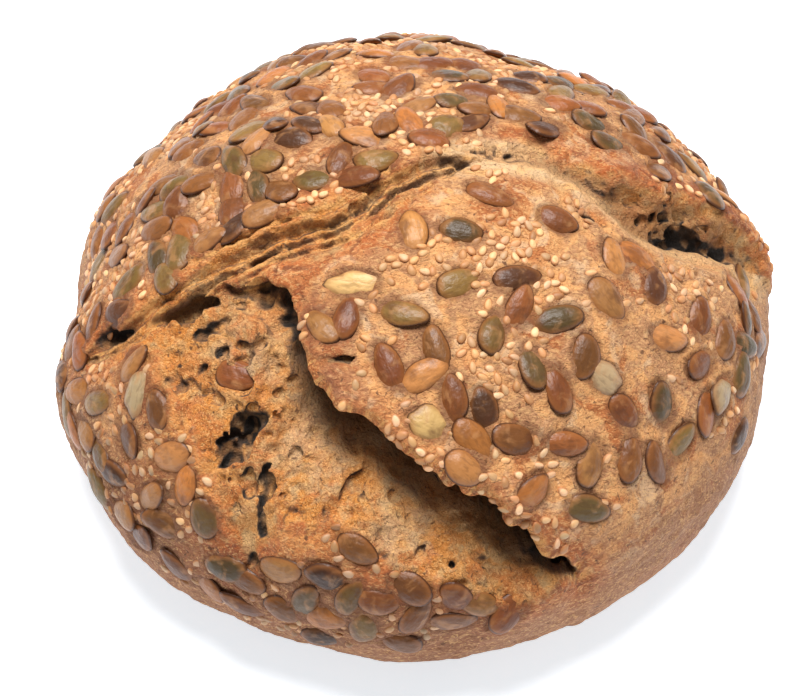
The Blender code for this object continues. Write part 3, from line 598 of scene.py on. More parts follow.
def crust_maps():
    """Maps over the unrolled crust: its lift, and what each tear's own function gives."""
    line = np.arange(-MAP_REACH, MAP_REACH + MAP_STEP, MAP_STEP)
    u, v = np.meshgrid(line, line, indexing="ij")
    torn_u = u + relief(u, v, 0 * u, TORN_WANDER[:1]) + relief(u, v, 0 * u + 40, TORN_WANDER[1:])
    torn_v = v + relief(u, v, 0 * u + 80, TORN_WANDER[:1]) + relief(u, v, 0 * u + 120, TORN_WANDER[1:])
    tears = [tear(torn_u, torn_v) for tear in (front_tear, ridge_tear, back_tear)]
    lift = sum(tear[4] for tear in tears)
    for at_u, at_v, radius, swell in SWELLS:
        lift = lift + swell * bump(np.hypot(u - at_u, v - at_v), radius)
    return lift, [tear[:4] for tear in tears]


LIFT, TEARS = crust_maps()


def read_map(grid, u, v):
    """A map's value at places between its points."""
    place_u = np.clip((u + MAP_REACH) / MAP_STEP, 0, grid.shape[0] - 1.001)
    place_v = np.clip((v + MAP_REACH) / MAP_STEP, 0, grid.shape[1] - 1.001)
    i, j = np.int32(place_u), np.int32(place_v)
    share_u, share_v = place_u - i, place_v - j
    low = grid[i, j] * (1 - share_v) + grid[i, j + 1] * share_v
    high = grid[i + 1, j] * (1 - share_v) + grid[i + 1, j + 1] * share_v
    return low * (1 - share_u) + high * share_u


def dome_radius(phi, toward_back):
    """Distance from the middle of the girth to the dome, at an angle phi down from the peak."""
    fullness = DOME_FULLNESS - FRONT_FULLNESS * toward_back
    side, rise = np.sin(phi), np.cos(phi)
    crown = LOAF_HEIGHT - GIRTH_HEIGHT
    upper = (side / GIRTH_RADIUS) ** fullness + (np.maximum(rise, 0) / crown) ** fullness
    upper = upper ** (-1 / fullness)
    belly = GIRTH_RADIUS - BASE_RADIUS
    drop = np.maximum(-rise, 0) / (GIRTH_HEIGHT + BASE_SINK)
    square = (side / belly) ** 2 + drop**2 + 1e-9
    middle = side * BASE_RADIUS / belly**2
    spread = np.maximum(middle**2 - square * ((BASE_RADIUS / belly) ** 2 - 1), 0)
    return np.where(rise >= 0, upper, (middle + np.sqrt(spread)) / square)


def unroll(x, y, z):
    """The place (u, v) on the unrolled crust under or over a point, and its distance outside the dome."""
    reach = np.hypot(x, y) + 1e-6
    rise = z - GIRTH_HEIGHT
    phi = np.arctan2(reach, rise)
    outside = np.hypot(reach, rise) - dome_radius(phi, y / reach)
    scale = UNROLL_RADIUS * phi / reach
    return x * scale, y * scale, outside * NORMAL_SHARE


def outward(u, v):
    """The direction from the middle of the girth through a place on the unrolled crust."""
    reach = math.hypot(u, v) + 1e-6
    phi = reach / UNROLL_RADIUS
    return Vector((u / reach * math.sin(phi), v / reach * math.sin(phi), math.cos(phi)))


def pore_list():
    """Small holes strewn over the floor of the front tear, in the same form as HOLES."""
    rng = np.random.default_rng(5)
    edge, _, floor, _ = TEARS[0]
    outline = np.array(FRONT_LIP + FRONT_FAR_SIDE)
    pores = []
    while len(pores) < PORES:
        u, v = rng.uniform(outline.min(axis=0), outline.max(axis=0))
        if read_map(edge, u, v) < -PORE_ROOM:
            radius = rng.uniform(*PORE_RADIUS)
            long = radius * PORE_STRETCH
            pores.append((u, v, float(read_map(floor, u, v)), long, radius, long))
    return tuple(pores)


ALL_HOLES = HOLES + pore_list()


def below_crust(x, y, z):
    """A point's place (u, v) on the unrolled crust, and its depth below the untorn crust."""
    u, v, outside = unroll(x, y, z)
    return u, v, read_map(LIFT, u, v) + relief(x, y, z, CRUST_RELIEF) - outside


def loaf_field(x, y, z):
    """Signed distance to the torn loaf, below zero inside."""
    u, v, depth = below_crust(x, y, z)
    crests = sum(height * np.abs(noise(x, y, z + 70, size)) for height, size in CREST_RELIEF)
    to_tear = np.maximum(np.min([read_map(tear[0], u, v) for tear in TEARS], axis=0), 0)
    field = RIM_ROUGH * crests * bump(to_tear, RIM_RUN) - depth
    rough = relief(x, y, z, CRUMB_RELIEF) + crests - CREST_MEAN
    for pit_depth, size, opens in PITS:
        rough += pit_depth * ramp(noise(x, y, z + 50, size), opens, opens + PIT_SOFTNESS)
    torn_wall = relief(x, y, z + 90, WALL_RELIEF)
    below_lip = ramp(depth, LIP_THICKNESS, LIP_THICKNESS + LIP_BACK_SLOPE)
    for tear in TEARS:
        edge, undercut, floor, share = (read_map(grid, u, v) for grid in tear)
        wall = edge - undercut * below_lip + torn_wall
        void = smooth_max(wall, depth - floor - rough * share, EDGE_ROUNDING)
        field = smooth_max(field, -void, EDGE_ROUNDING + LIP_ROUNDING * undercut)
    for at_u, at_v, at_depth, half_u, half_v, half_depth in ALL_HOLES:
        near = (np.abs(u - at_u) < half_u + HOLE_REACH) & (np.abs(v - at_v) < half_v + HOLE_REACH)
        off_u, off_v, off_depth = u[near] - at_u, v[near] - at_v, depth[near] - at_depth
        gap = np.sqrt((off_u / half_u) ** 2 + (off_v / half_v) ** 2 + (off_depth / half_depth) ** 2)
        hole = (gap - 1) * min(half_u, half_v, half_depth) + torn_wall[near]
        field[near] = smooth_max(field[near], -hole, EDGE_ROUNDING)
    return smooth_max(field, -z, EDGE_ROUNDING)


def mesh_object(name, points, faces):
    """A new object from points in millimetres and faces that all have the same number of corners."""
    mesh = bpy.data.meshes.new(name)
    mesh.vertices.add(len(points))
    mesh.vertices.foreach_set("co", (points * MM).astype(np.float32).ravel())
    mesh.loops.add(faces.size)
    mesh.loops.foreach_set("vertex_index", faces.astype(np.int32).ravel())
    mesh.polygons.add(len(faces))
    starts = np.arange(0, faces.size, faces.shape[1], dtype=np.int32)
    mesh.polygons.foreach_set("loop_start", starts)
    mesh.update(calc_edges=True)
    mesh.validate()
    mesh.shade_smooth()
    made = bpy.data.objects.new(name, mesh)
    bpy.context.scene.collection.objects.link(made)
    return made


def add_attribute(mesh, name, values):
    """One value, or one vector, for each vertex, for the materials to read."""
    kind = "FLOAT" if values.ndim == 1 else "FLOAT_VECTOR"
    layer = mesh.attributes.new(name, kind, "POINT")
    layer.data.foreach_set("value" if values.ndim == 1 else "vector", values.astype(np.float32).ravel())


def field_grid():
    """The field at every voxel, worked out in full only in the blocks near the surface."""
    side, foot = GIRTH_RADIUS + MARGIN, -MARGIN
    step = VOXEL * BLOCK
    across = np.arange(-side, side, step)
    up = np.arange(foot, LOAF_HEIGHT + MARGIN, step)
    x, y, z = np.meshgrid(across, across, up, indexing="ij")
    middle = 0.5 * (step - VOXEL)
    coarse = loaf_field(x + middle, y + middle, z + middle)
    blocks = np.argwhere(np.abs(coarse) < NEAR_SURFACE)
    inner = np.argwhere(np.ones((BLOCK,) * 3, bool))
    cells = (blocks[:, None, :] * BLOCK + inner[None, :, :]).reshape(-1, 3)
    corner = np.array([-side, -side, foot])
    grid = np.clip(coarse, -FAR_OUTSIDE, FAR_OUTSIDE).astype(np.float32)
    for axis in range(3):
        grid = np.repeat(grid, BLOCK, axis=axis)
    for part in np.array_split(cells, max(1, len(cells) // VOXELS_AT_ONCE)):
        place = part * VOXEL + corner
        grid[tuple(part.T)] = loaf_field(*place.T)
    return grid, corner


def loaf_body():
    """The torn loaf without its seeds, flat at the base, thinned to its budget of triangles."""
    grid, corner = field_grid()
    volume = openvdb.FloatGrid(FAR_OUTSIDE)
    volume.copyFromArray(grid)
    points, quads = volume.convertToQuads()
    points = points * VOXEL + corner
    points[:, 2] = np.maximum(points[:, 2], 0)
    body = mesh_object("loaf_body", points, quads)
    thin = body.modifiers.new("fewer faces", "DECIMATE")
    thin.ratio = BODY_TRIANGLES / (2 * len(quads))
    with bpy.context.temp_override(object=body, active_object=body, selected_objects=[body]):
        bpy.ops.object.modifier_apply(modifier=thin.name)
    body.data.shade_smooth()
    return body


def vertex_vectors(mesh, name):
    """The vertices' places ("co") or normals ("normal"), one row for each."""
    values = np.empty(len(mesh.vertices) * 3, np.float32)
    mesh.vertices.foreach_get(name, values)
    return values.reshape(-1, 3)


def near_places(u, v, places):
    """One at any of the places (u, v, radius), falling softly to nothing around them."""
    return np.max([bump(np.hypot(u - at_u, v - at_v), radius) for at_u, at_v, radius in places], axis=0)


def crowding(place, normal, reach):
    """How much of the way out from each point, by this reach, lies inside the loaf."""
    return np.clip(1.0 - loaf_field(*(place + normal * reach).T) / reach, 0, 1)


def back_tear_looks(u, v, depth):
    """Freshly torn crumb, the dip in front, and the back right tear's sloping face (darker crumb with
    painted shade) and groove (painted shade).
    """
    gap, side, face_run = along_line(u, v, BACK_TEAR, BACK_FACE_RUNS)
    behind = gap * side
    starts = ramp(u, *BACK_TEAR_STARTS)
    along = ramp(behind, *FRESH_BEHIND) * ramp(gap, *FRESH_GAPS)
    fresh = np.maximum(along, ramp(gap, *FRESH_START_GAPS) * ramp(u, *FRESH_START_ENDS)) * starts
    dip = ramp(behind, *DIP_BEHIND) * ramp(gap, *DIP_GAPS) * starts
    face = ramp(behind, *FACE_BEHIND) * ramp(gap - face_run, *FACE_ENDS) * ramp(u, *FACE_STARTS)
    groove = bump(gap, GROOVE_WIDTH) * ramp(u, *GROOVE_STARTS) * ramp(depth, *GROOVE_DEPTHS)
    return fresh, dip, face, groove


def strand_looks(u, v, depth, to_lip):
    """Where strands are drawn out, and the coordinates along and across them that their noise takes."""
    gap, side, run = along_line(u, v, RIDGE_TEAR, RIDGE_RUNS)
    strung = ramp(read_map(TEARS[1][0], u, v), *STRUNG_EDGES)
    across = gap * side + FIBRE_WANDER * STRING_WANDER * noise(u, v, 0 * u, STRING_LENGTH)
    lengths = [math.dist(a, b) for a, b in zip(FRONT_LIP, FRONT_LIP[1:])]
    lip_run = along_line(u, v, FRONT_LIP, [0.0] + list(np.cumsum(lengths)))[2]
    by_lip = bump(to_lip, FRINGE_WIDTH) * ramp(depth, *FRINGE_DEPTHS) * (1 - strung)
    ropes = np.stack([run, across, 0 * u], axis=1)
    fringe = np.stack([FRINGE_SPREAD * to_lip + depth, lip_run, 0 * u], axis=1)
    return np.maximum(strung, by_lip), np.where((by_lip > strung)[:, None], fringe, ropes) * MM


def surface_attributes(body):
    """What the body's material reads at each point, apart from the collars around the seeds."""
    place = vertex_vectors(body.data, "co").astype(float) / MM
    normal = vertex_vectors(body.data, "normal").astype(float)
    u, v, depth = below_crust(*place.T)
    edge = np.min([read_map(tear[0], u, v) for tear in TEARS], axis=0)
    nook, near, far = [crowding(place, normal, reach) for reach in NOOK_REACHES]
    inner = loaf_field(*(place - normal * RIDGE_REACH).T)
    to_lip = along_line(u, v, FRONT_LIP)[0]
    fresh, dip, face, groove = back_tear_looks(u, v, depth)
    strung, strand = strand_looks(u, v, depth, to_lip)
    baked_and_shaded_front = ramp(v, *BAKED_AND_SHADED_FRONT) * ramp(u, *BAKED_AND_SHADED_FRONT_ENDS)
    looks = {
        "torn": ramp(depth, *TORN_DEPTHS) * ramp(place[:, 2], *TORN_HEIGHTS),
        "depth": np.clip(depth / FULL_DEPTH, 0, 1),
        # Nook and hollow measure crowding, for the painted shade in recesses.
        "nook": nook,
        "hollow": (near + far) / 2,
        "ridge": np.clip(1.0 + inner / RIDGE_REACH, 0, 1),
        "fresh": fresh,
        "rim": bump(np.maximum(edge, 0), RIM_WIDTH) * (1 - fresh) * (1 - dip),
        # The face is partly darker crumb and partly painted shade; the groove is painted shade in the
        # crease.
        "face": face,
        "groove": groove,
        "wall": ramp(np.hypot(u, v), *WALL_REACHES),
        # Darker front and left: partly darker baking, partly painted shade.
        "baked": np.maximum(baked_and_shaded_front, near_places(u, v, (BAKED_AND_SHADED_LEFT,))),
        "scorched": near_places(u, v, SCORCHED),
        "golden": near_places(u, v, GOLDEN),
        "pale": near_places(u, v, PALE_CRUMB),
        # Painted shade on the crumb below the front lip.
        "under": ramp(to_lip, *UNDER_GAPS) * ramp(depth, *UNDER_DEPTHS),
        "lip": bump(to_lip, LIP_WIDTH) * ramp(depth, *LIP_DEPTHS),
        "strung": strung,
        "strand": strand,
    }
    for name, values in looks.items():
        add_attribute(body.data, name, values)


def seed_shape(size, rings, sides, tip, fullness):
    """A smooth seed, long axis along X: its points, faces, and how far out each point lies."""
    length, width, thick = size
    turn = np.linspace(0, 2 * math.pi, sides, endpoint=False)
    across = np.sin(turn) * (1 - tip * np.cos(turn))
    outline = np.stack([np.cos(turn) * length / 2, across * width / 2], axis=1)
    points, out = [[0, 0, 1.0]], [0.0]
    profile = [(share, 1) for share in rings] + [(share, -1) for share in rings[-2::-1]]
    for share, face in profile:
        rise = face * (1 - share**fullness) ** SEED_EDGE
        points += [[x * share, y * share, rise] for x, y in outline]
        out += [share] * sides
    points.append([0, 0, -1.0])
    out.append(0.0)
    points = np.array(points)
    points[:, 2] *= np.where(points[:, 2] > 0, SEED_UPPER, SEED_UNDER) * thick
    faces = []
    for k in range(sides):
        following = (k + 1) % sides
        faces.append((0, 1 + k, 1 + following))
        for ring in range(len(profile) - 1):
            low = 1 + ring * sides
            high = low + sides
            faces.append((low + k, high + k, high + following))
            faces.append((low + k, high + following, low + following))
        last = 1 + (len(profile) - 1) * sides
        faces.append((last + k, len(points) - 1, last + following))
    return points, np.array(faces), np.array(out)


def seed_room(u, v):
    """How far a place lies inside the seeded crust: clear of the tears and above the bare lower wall."""
    clear = min(read_map(tear[0], u, v) for tear in TEARS)
    bearing = math.degrees(math.atan2(v, u))
    limit = SEED_LIMIT
    for at, spread, change in SEED_LIMIT_CHANGES:
        limit += change * bump(bearing - at, spread)
    clear = min([clear] + [math.hypot(u - at_u, v - at_v) - radius for at_u, at_v, radius in BARE_PLACES])
    return min(clear, limit - math.hypot(u, v))


def with_drifts(share, drifts, u, v):
    """A share raised or lowered around places: u, v, radius and change."""
    for at_u, at_v, radius, change in drifts:
        share += change * bump(math.hypot(u - at_u, v - at_v), radius)
    return share


def pumpkin_chance(u, v):
    """The share of places that hold a pumpkin seed of the solid."""
    return with_drifts(PUMPKIN_SHARE, PUMPKIN_DRIFTS, u, v)


def extra_pumpkin_chance(u, v):
    """The share of places that hold a further pumpkin seed."""
    return with_drifts(pumpkin_chance(u, v), EXTRA_PUMPKIN_DRIFTS, u, v)


def sesame_chance(u, v):
    """The share of places that hold a sesame seed of the solid."""
    plain, drifting = SESAME_NOISE
    drift = smooth_step(plain + drifting * noise(u, v, 60.0, SESAME_DRIFT))
    return SESAME_LEAST + SESAME_MORE * drift


def cluster_chance(u, v):
    """The share of places that hold a cluster of sesame seeds."""
    return with_drifts(sesame_chance(u, v), SESAME_DRIFTS, u, v)


def is_free(u, v, taken):
    """Whether a place keeps its gap from every seed already laid."""
    return all(math.hypot(u - other[0], v - other[1]) > room for other, room in taken)


def seed_places(count, gap, clearance, taken, chance, seed):
    """Places and turns of scattered seeds, each a gap from those already taken."""
    rng = np.random.default_rng(seed)
    places = []
    for number in rng.permutation(SEED_SEARCH):
        reach = SEED_REACH * math.sqrt((number + 0.5) / SEED_SEARCH)
        u = reach * math.cos(number * GOLDEN_ANGLE) + rng.uniform(-SEED_JITTER, SEED_JITTER)
        v = reach * math.sin(number * GOLDEN_ANGLE) + rng.uniform(-SEED_JITTER, SEED_JITTER)
        if rng.uniform() > chance(u, v) or seed_room(u, v) < clearance or len(places) == count:
            continue
        if is_free(u, v, taken):
            places.append((u, v, rng.uniform(0, 180)))
            taken.append((places[-1], gap))
    return places


def clustered_sesame(taken):
    """Places and turns of the sesame seeds that lie in clusters."""
    rng = np.random.default_rng(31)
    places = []
    while len(places) < CLUSTERED_SESAME:
        reach = SEED_REACH * math.sqrt(rng.uniform())
        turn = rng.uniform(0, 2 * math.pi)
        middle_u, middle_v = reach * math.cos(turn), reach * math.sin(turn)
        if rng.uniform() > cluster_chance(middle_u, middle_v):
            continue
        for _ in range(rng.integers(*CLUSTER_SEEDS)):
            u = middle_u + rng.normal(0, CLUSTER_SPREAD)
            v = middle_v + rng.normal(0, CLUSTER_SPREAD)
            if seed_room(u, v) >= SESAME_ROOM and is_free(u, v, taken):
                places.append((u, v, rng.uniform(0, 180)))
                taken.append((places[-1], CLUSTER_GAP))
    return places


def crust_point(tree, u, v):
    """The outermost point of the body at a place on the unrolled crust."""
    way = outward(u, v)
    middle = Vector((0, 0, GIRTH_HEIGHT * MM))
    return tree.ray_cast(middle + way * 2 * GIRTH_RADIUS * MM, -way)[0]


def resting_frame(tree, u, v, turn, span, sink, rng):
    """Where a seed lies at a place: its turn as a matrix, and its middle in millimetres."""
    along = crust_point(tree, u + span, v) - crust_point(tree, u - span, v)
    aside = crust_point(tree, u, v + span) - crust_point(tree, u, v - span)
    normal = along.cross(aside).normalized()
    plain = outward(u, v)
    lean = normal.angle(plain)
    if lean > MOST_LEAN:
        normal = plain.lerp(normal, MOST_LEAN / lean)
    normal.normalize()
    along = (along - normal * along.dot(normal)).normalized()
    aside = normal.cross(along)
    turned = Matrix((along, aside, normal)).transposed()
    tilt = Matrix.Rotation(rng.uniform(-SEED_TILT, SEED_TILT), 3, "X")
    tilt = tilt @ Matrix.Rotation(rng.uniform(-SEED_TILT, SEED_TILT), 3, "Y")
    turned = turned @ Matrix.Rotation(math.radians(turn), 3, "Z") @ tilt
    centre = crust_point(tree, u, v)
    reach = span * SEED_AROUND
    around = [crust_point(tree, u + reach * side_u, v + reach * side_v)
              for side_u, side_v in ((1, 0), (-1, 0), (0, 1), (0, -1))]
    heights = [(point - centre).dot(normal) / MM for point in around]
    in_crumb = seed_room(u, v) < 0
    raised = max(heights) + CRUMB_SEED_RAISE if in_crumb else SEED_RISE * np.mean(heights)
    middle = centre / MM + normal * (max(raised, -SEED_DROP) - sink)
    return np.array(turned), np.array(middle)


def seed_bake_and_shade(u, v):
    """How dark a seed is made at a place: 1 for plain, less along the front and the left, partly baked
    darker and partly painted shade.
    """
    left = ramp(u, *BAKED_AND_SHADED_SEEDS_LEFT) * ramp(v, *BAKED_AND_SHADED_SEEDS_LEFT_FRONT)
    return 1 - FRONT_BAKE_AND_SHADE * max(ramp(v, *BAKED_AND_SHADED_SEEDS_FRONT), left)


def lay_seeds(name, tree, shape, size, places, tones, sink, rng, uneven):
    """One joined piece of seeds on the body, each a little different in size, outline and colour."""
    points, faces, out = shape
    looks = np.random.default_rng(41)
    all_points, all_faces, colours, local, frames = [], [], [], [], []
    for number, (u, v, turn) in enumerate(places):
        turned, middle = resting_frame(tree, u, v, turn, size[1] / 2, sink, rng)
        scale = 1 + looks.uniform(-uneven, uneven * LARGER_SHARE, 3)
        seed = points * scale
        seed[:, 1] += looks.uniform(*SEED_BENDS) * seed[:, 0] ** 2
        ragged = uneven * (FLAKE_RAGGED if tones[number] in (CREAM, PALE) else WHOLE_RAGGED)
        bearing = np.arctan2(seed[:, 1] / size[1], seed[:, 0] / size[0])
        for lobes in OUTLINE_LOBES:
            wave = np.cos(lobes * bearing + looks.uniform(0, FULL_TURN))
            seed[:, :2] *= (1 + ragged / lobes * wave)[:, None]
        elsewhere = seed[:, 0] + LUMP_SPACING * number
        lump = noise(elsewhere, seed[:, 1], seed[:, 2], size[1] * LUMP_SIZE)
        seed[:, 2] += LUMP_HEIGHT * size[2] * lump * (1 - out)
        all_points.append(seed @ turned.T + middle)
        frames.append((turned, middle, size[0] / 2 * scale[0], size[1] / 2 * scale[1]))
        all_faces.append(faces + number * len(points))
        shade = seed_bake_and_shade(u, v) * looks.uniform(*SEED_SHADES)
        shift = shade * (1 + looks.uniform(-SEED_TINT, SEED_TINT, 3))
        tone = np.clip(np.array(tones[number]) / 255 * shift, 0, 1)
        colours.append(np.tile(tone, (len(points), 1)))
        local.append(points * MM + np.array([GRAIN_SPACING * number, 0, 0]))
    made = mesh_object(name, np.concatenate(all_points), np.concatenate(all_faces))
    add_attribute(made.data, "tone", np.concatenate(colours) ** SCREEN_GAMMA)
    add_attribute(made.data, "local", np.concatenate(local))
    add_attribute(made.data, "out", np.tile(out, len(places)))
    return made, frames


def seed_collars(body, frames):
    """Marks the crust close around each seed for a painted contact shade, and swells it there."""
    place = vertex_vectors(body.data, "co") / MM
    collar, swell = np.zeros(len(place)), np.zeros(len(place))
    for turned, middle, half_long, half_wide in frames:
        near = np.flatnonzero(np.abs(place - middle).max(axis=1) < half_long + COLLAR_REACH)
        x, y, _ = ((place[near] - middle) @ turned).T
        gap = (np.hypot(x / half_long, y / half_wide) - 1) * (half_long + half_wide) / 2
        collar[near] = np.maximum(collar[near], bump(np.maximum(gap, 0), COLLAR_RUN))
        swell[near] = np.maximum(swell[near], bump(gap - COLLAR_RUN, COLLAR_RUN) * (gap > 0))
    add_attribute(body.data, "collar", collar)
    place += vertex_vectors(body.data, "normal") * (COLLAR_SWELL * swell)[:, None]
    body.data.vertices.foreach_set("co", (place * MM).astype(np.float32).ravel())
    body.data.update()


def on_screen(red, green, blue):
    """A screen colour as the linear colour that a shader takes."""
    shares = [value / 255 for value in (red, green, blue)]
    return tuple(s / 12.92 if s <= 0.04045 else ((s + 0.055) / 1.055) ** 2.4 for s in shares) + (1.0,)


def shader_tones(tones):
    """Named screen colours as the colours that a shader takes."""
    return {name: on_screen(*tone) for name, tone in tones.items()}


class Finish:
    """A procedural material, built up from small steps that each give a socket to link on."""

    def __init__(self, name, roughness):
        self.material = bpy.data.materials.new(name)
        self.material.use_nodes = True
        self.nodes = self.material.node_tree.nodes
        self.links = self.material.node_tree.links
        self.shader = self.nodes["Principled BSDF"]
        self.shader.inputs["Roughness"].default_value = roughness
        self.place = self.nodes.new("ShaderNodeTexCoord").outputs["Object"]

    def feed(self, socket, value):
        if isinstance(value, bpy.types.NodeSocket):
            self.links.new(value, socket)
        else:
            socket.default_value = value

    def attribute(self, name, kind="Fac"):
        node = self.nodes.new("ShaderNodeAttribute")
        node.attribute_name = name
        return node.outputs[kind]

    def noise(self, size, detail=3.0, stretch=(1, 1, 1), place=None, twist=0.0):
        """Noise whose features are about this many millimetres across."""
        turned = self.nodes.new("ShaderNodeMapping")
        turned.inputs["Scale"].default_value = stretch
        self.feed(turned.inputs["Vector"], self.place if place is None else place)
        node = self.nodes.new("ShaderNodeTexNoise")
        self.feed(node.inputs["Vector"], turned.outputs[0])
        node.inputs["Scale"].default_value = 1 / (size * MM)
        node.inputs["Detail"].default_value = detail
        node.inputs["Distortion"].default_value = twist
        return node.outputs["Fac"]

    def calc(self, kind, a, b=0.0):
        node = self.nodes.new("ShaderNodeMath")
        node.operation = kind
        self.feed(node.inputs[0], a)
        self.feed(node.inputs[1], b)
        return node.outputs[0]

    def span(self, value, low, high, to_low=0.0, to_high=1.0):
        node = self.nodes.new("ShaderNodeMapRange")
        node.interpolation_type = "SMOOTHSTEP"
        for number, entry in enumerate((value, low, high, to_low, to_high)):
            self.feed(node.inputs[number], entry)
        return node.outputs[0]

    def patches(self, size, detail, twist, low, high, place=None):
        """Patches of noise, from none at one level of it to full at the other."""
        return self.span(self.noise(size, detail, twist=twist, place=place), low, high)

    def mix(self, share, a, b):
        node = self.nodes.new("ShaderNodeMix")
        node.data_type = "RGBA"
        for name, entry in (("Factor_Float", share), ("A_Color", a), ("B_Color", b)):
            socket = next(s for s in node.inputs if s.identifier == name)
            self.feed(socket, entry)
        return next(s for s in node.outputs if s.identifier == "Result_Color")

    def lay(self, colour, tones, layers):
        """Lays tones over a colour, one after the other.

        A layer is a tone's name, its share, and where it lies: sockets or names of attributes,
        multiplied together."""
        for name, share, *places in layers:
            places = [self.attribute(place) if isinstance(place, str) else place for place in places]
            amount = places[0]
            for factor in places[1:] + [share]:
                amount = self.calc("MULTIPLY", amount, factor)
            colour = self.mix(amount, colour, tones[name])
        return colour

    def colour(self, value):
        self.feed(self.shader.inputs["Base Color"], value)

    def relief(self, steps):
        """Bumps from (height socket, depth in millimetres) steps, one upon the other."""
        below = None
        for height, depth in steps:
            node = self.nodes.new("ShaderNodeBump")
            node.inputs["Strength"].default_value = 1.0
            node.inputs["Distance"].default_value = depth * MM
            self.feed(node.inputs["Height"], height)
            if below is not None:
                self.links.new(below, node.inputs["Normal"])
            below = node.outputs[0]
        self.links.new(below, self.shader.inputs["Normal"])


def crust_colour(skin):
    """Golden tan crust, dusted with flour in places, toasted in others and along torn rims, with painted
    shade in its nooks and around the seeds.
    """
    tones = shader_tones(CRUST_TONES)
    felt = skin.noise(0.75, 5, stretch=(0.5, 1.1, 1), twist=1.2)
    marbled = skin.noise(11, 5, twist=1.4)
    tones["fresh"] = skin.mix(skin.span(marbled, 0.42, 0.6), tones["fresh pale"], tones["fresh gold"])
    gold = skin.calc("MULTIPLY", skin.attribute("golden"), skin.patches(5, 5, 1.0, 0.36, 0.56))
    off_middle = skin.calc("ABSOLUTE", skin.calc("SUBTRACT", skin.noise(7, 5, twist=1.5), 0.5))
    crowded = skin.calc("SUBTRACT", 0.5, skin.calc("MULTIPLY", gold, 0.3))
    colour = skin.mix(skin.span(marbled, 0.44, 0.58), tones["dull"], tones["plain"])
    return skin.lay(colour, tones, (
        ("toasted", 0.85, skin.patches(15, 6, 1.0, 0.51, 0.62)),
        ("floury", 0.7, skin.patches(8, 6, 1.2, 0.54, 0.66)),
        ("wall", 0.8, "wall"),
        # Darker front and left: partly darker baking, partly painted shade.
        ("baked", 0.6, "baked"),
        ("fresh", 0.85, "fresh"),
        ("rim", 0.9, "rim", skin.patches(3.4, 5, 0.8, 0.3, 0.5)),
        ("dark rim", 0.8, "rim", skin.patches(4.2, 5, 1.0, 0.52, 0.62)),
        ("golden", 0.85, gold),
        ("light strands", 0.5, skin.span(felt, 0.5, 0.66)),
        ("scorched", 0.85, "scorched", skin.patches(2.6, 5, 1.0, 0.3, 0.55)),
        ("grain", 0.55, skin.span(felt, 0.47, 0.34)),
        ("cracks", 0.6, skin.span(off_middle, 0.012, 0.0), skin.patches(9, 2, 0.0, 0.45, 0.6)),
        ("pits", 0.8, skin.patches(1.6, 4, 0.6, 0.37, 0.29)),
        # Painted contact shade around the seeds.
        ("collar", 0.6, "collar"),
        # Painted shade in the crust's nooks, less where it is golden.
        ("nook", 1.0, "nook", crowded),
    ))


def crumb_colour(skin):
    """Crumb of fine felted strands, toasted where it stands high, with painted brown and dark shade in
    its hollows.
    """
    tones = shader_tones(CRUMB_TONES)
    felt = skin.noise(0.8, 5, twist=1.6)
    high = skin.span(skin.attribute("depth"), 0.7, 0.15)
    along = skin.attribute("strand", "Vector")
    strand = skin.noise(1.3, 4, stretch=(0.09, 1, 0.3), place=along, twist=0.3)
    hollow = skin.attribute("hollow")
    open_share = skin.calc("SUBTRACT", 1.0, skin.calc("MULTIPLY", skin.attribute("strung"), 0.45))
    colour = skin.mix(skin.patches(9, 4, 0.6, 0.42, 0.6), tones["plain"], tones["dull"])
    return skin.lay(colour, tones, (
        ("browned", 0.65, skin.patches(4.5, 5, 1.0, 0.47, 0.62)),
        ("pale", 0.8, "pale", skin.patches(6, 5, 0.8, 0.34, 0.54)),
        ("toasted", 0.8, high, skin.patches(8, 5, 0.8, 0.44, 0.58)),
        ("ridge", 0.6, "ridge", skin.patches(4, 4, 0.0, 0.48, 0.62)),
        ("golden", 0.8, "golden", skin.patches(5, 5, 1.0, 0.4, 0.56)),
        ("lip", 0.9, "lip", skin.patches(3, 5, 1.0, 0.3, 0.5)),
        ("fresh", 0.8, "fresh"),
        ("light strands", 0.6, skin.span(felt, 0.5, 0.68)),
        ("dark strands", 0.65, skin.span(felt, 0.46, 0.32)),
        # Partly darker crumb, partly painted shade on the back tear's face.
        ("face", 0.6, "face"),
        # Painted shade below the front lip.
        ("under", 0.75, "under"),
        # Painted shade in the back tear's groove.
        ("groove", 0.45, "groove"),
        ("ropes", 0.85, "strung", skin.span(strand, 0.5, 0.62)),
        ("gaps", 0.6, "strung", skin.span(strand, 0.46, 0.36)),
        ("pits", 0.8, skin.patches(2.0, 4, 0.6, 0.37, 0.29)),
        # Painted shade in the crumb's hollows and nooks, less among the strands.
        ("shaded", 0.6, skin.span(hollow, 0.28, 0.5), open_share),
        ("hollow", 1.0, skin.span(hollow, 0.4, 0.8), open_share),
        ("nook", 1.0, skin.span(skin.attribute("nook"), 0.4, 0.9), open_share),
    ))


def loaf_finish():
    """Crust where the loaf isn't torn and crumb where it is, both finely rough."""
    skin = Finish("baked crust and crumb", 0.8)
    torn = skin.attribute("torn")
    skin.colour(skin.mix(torn, crust_colour(skin), crumb_colour(skin)))
    rough = skin.span(torn, 0.0, 1.0, 0.7, 1.0)
    coarse = skin.calc("MULTIPLY", skin.noise(2.4, 5, twist=0.8), rough)
    fine = skin.calc("MULTIPLY", skin.noise(0.7, 4, twist=0.8), rough)
    skin.relief([(coarse, 1.1), (fine, 0.7)])
    return skin.material


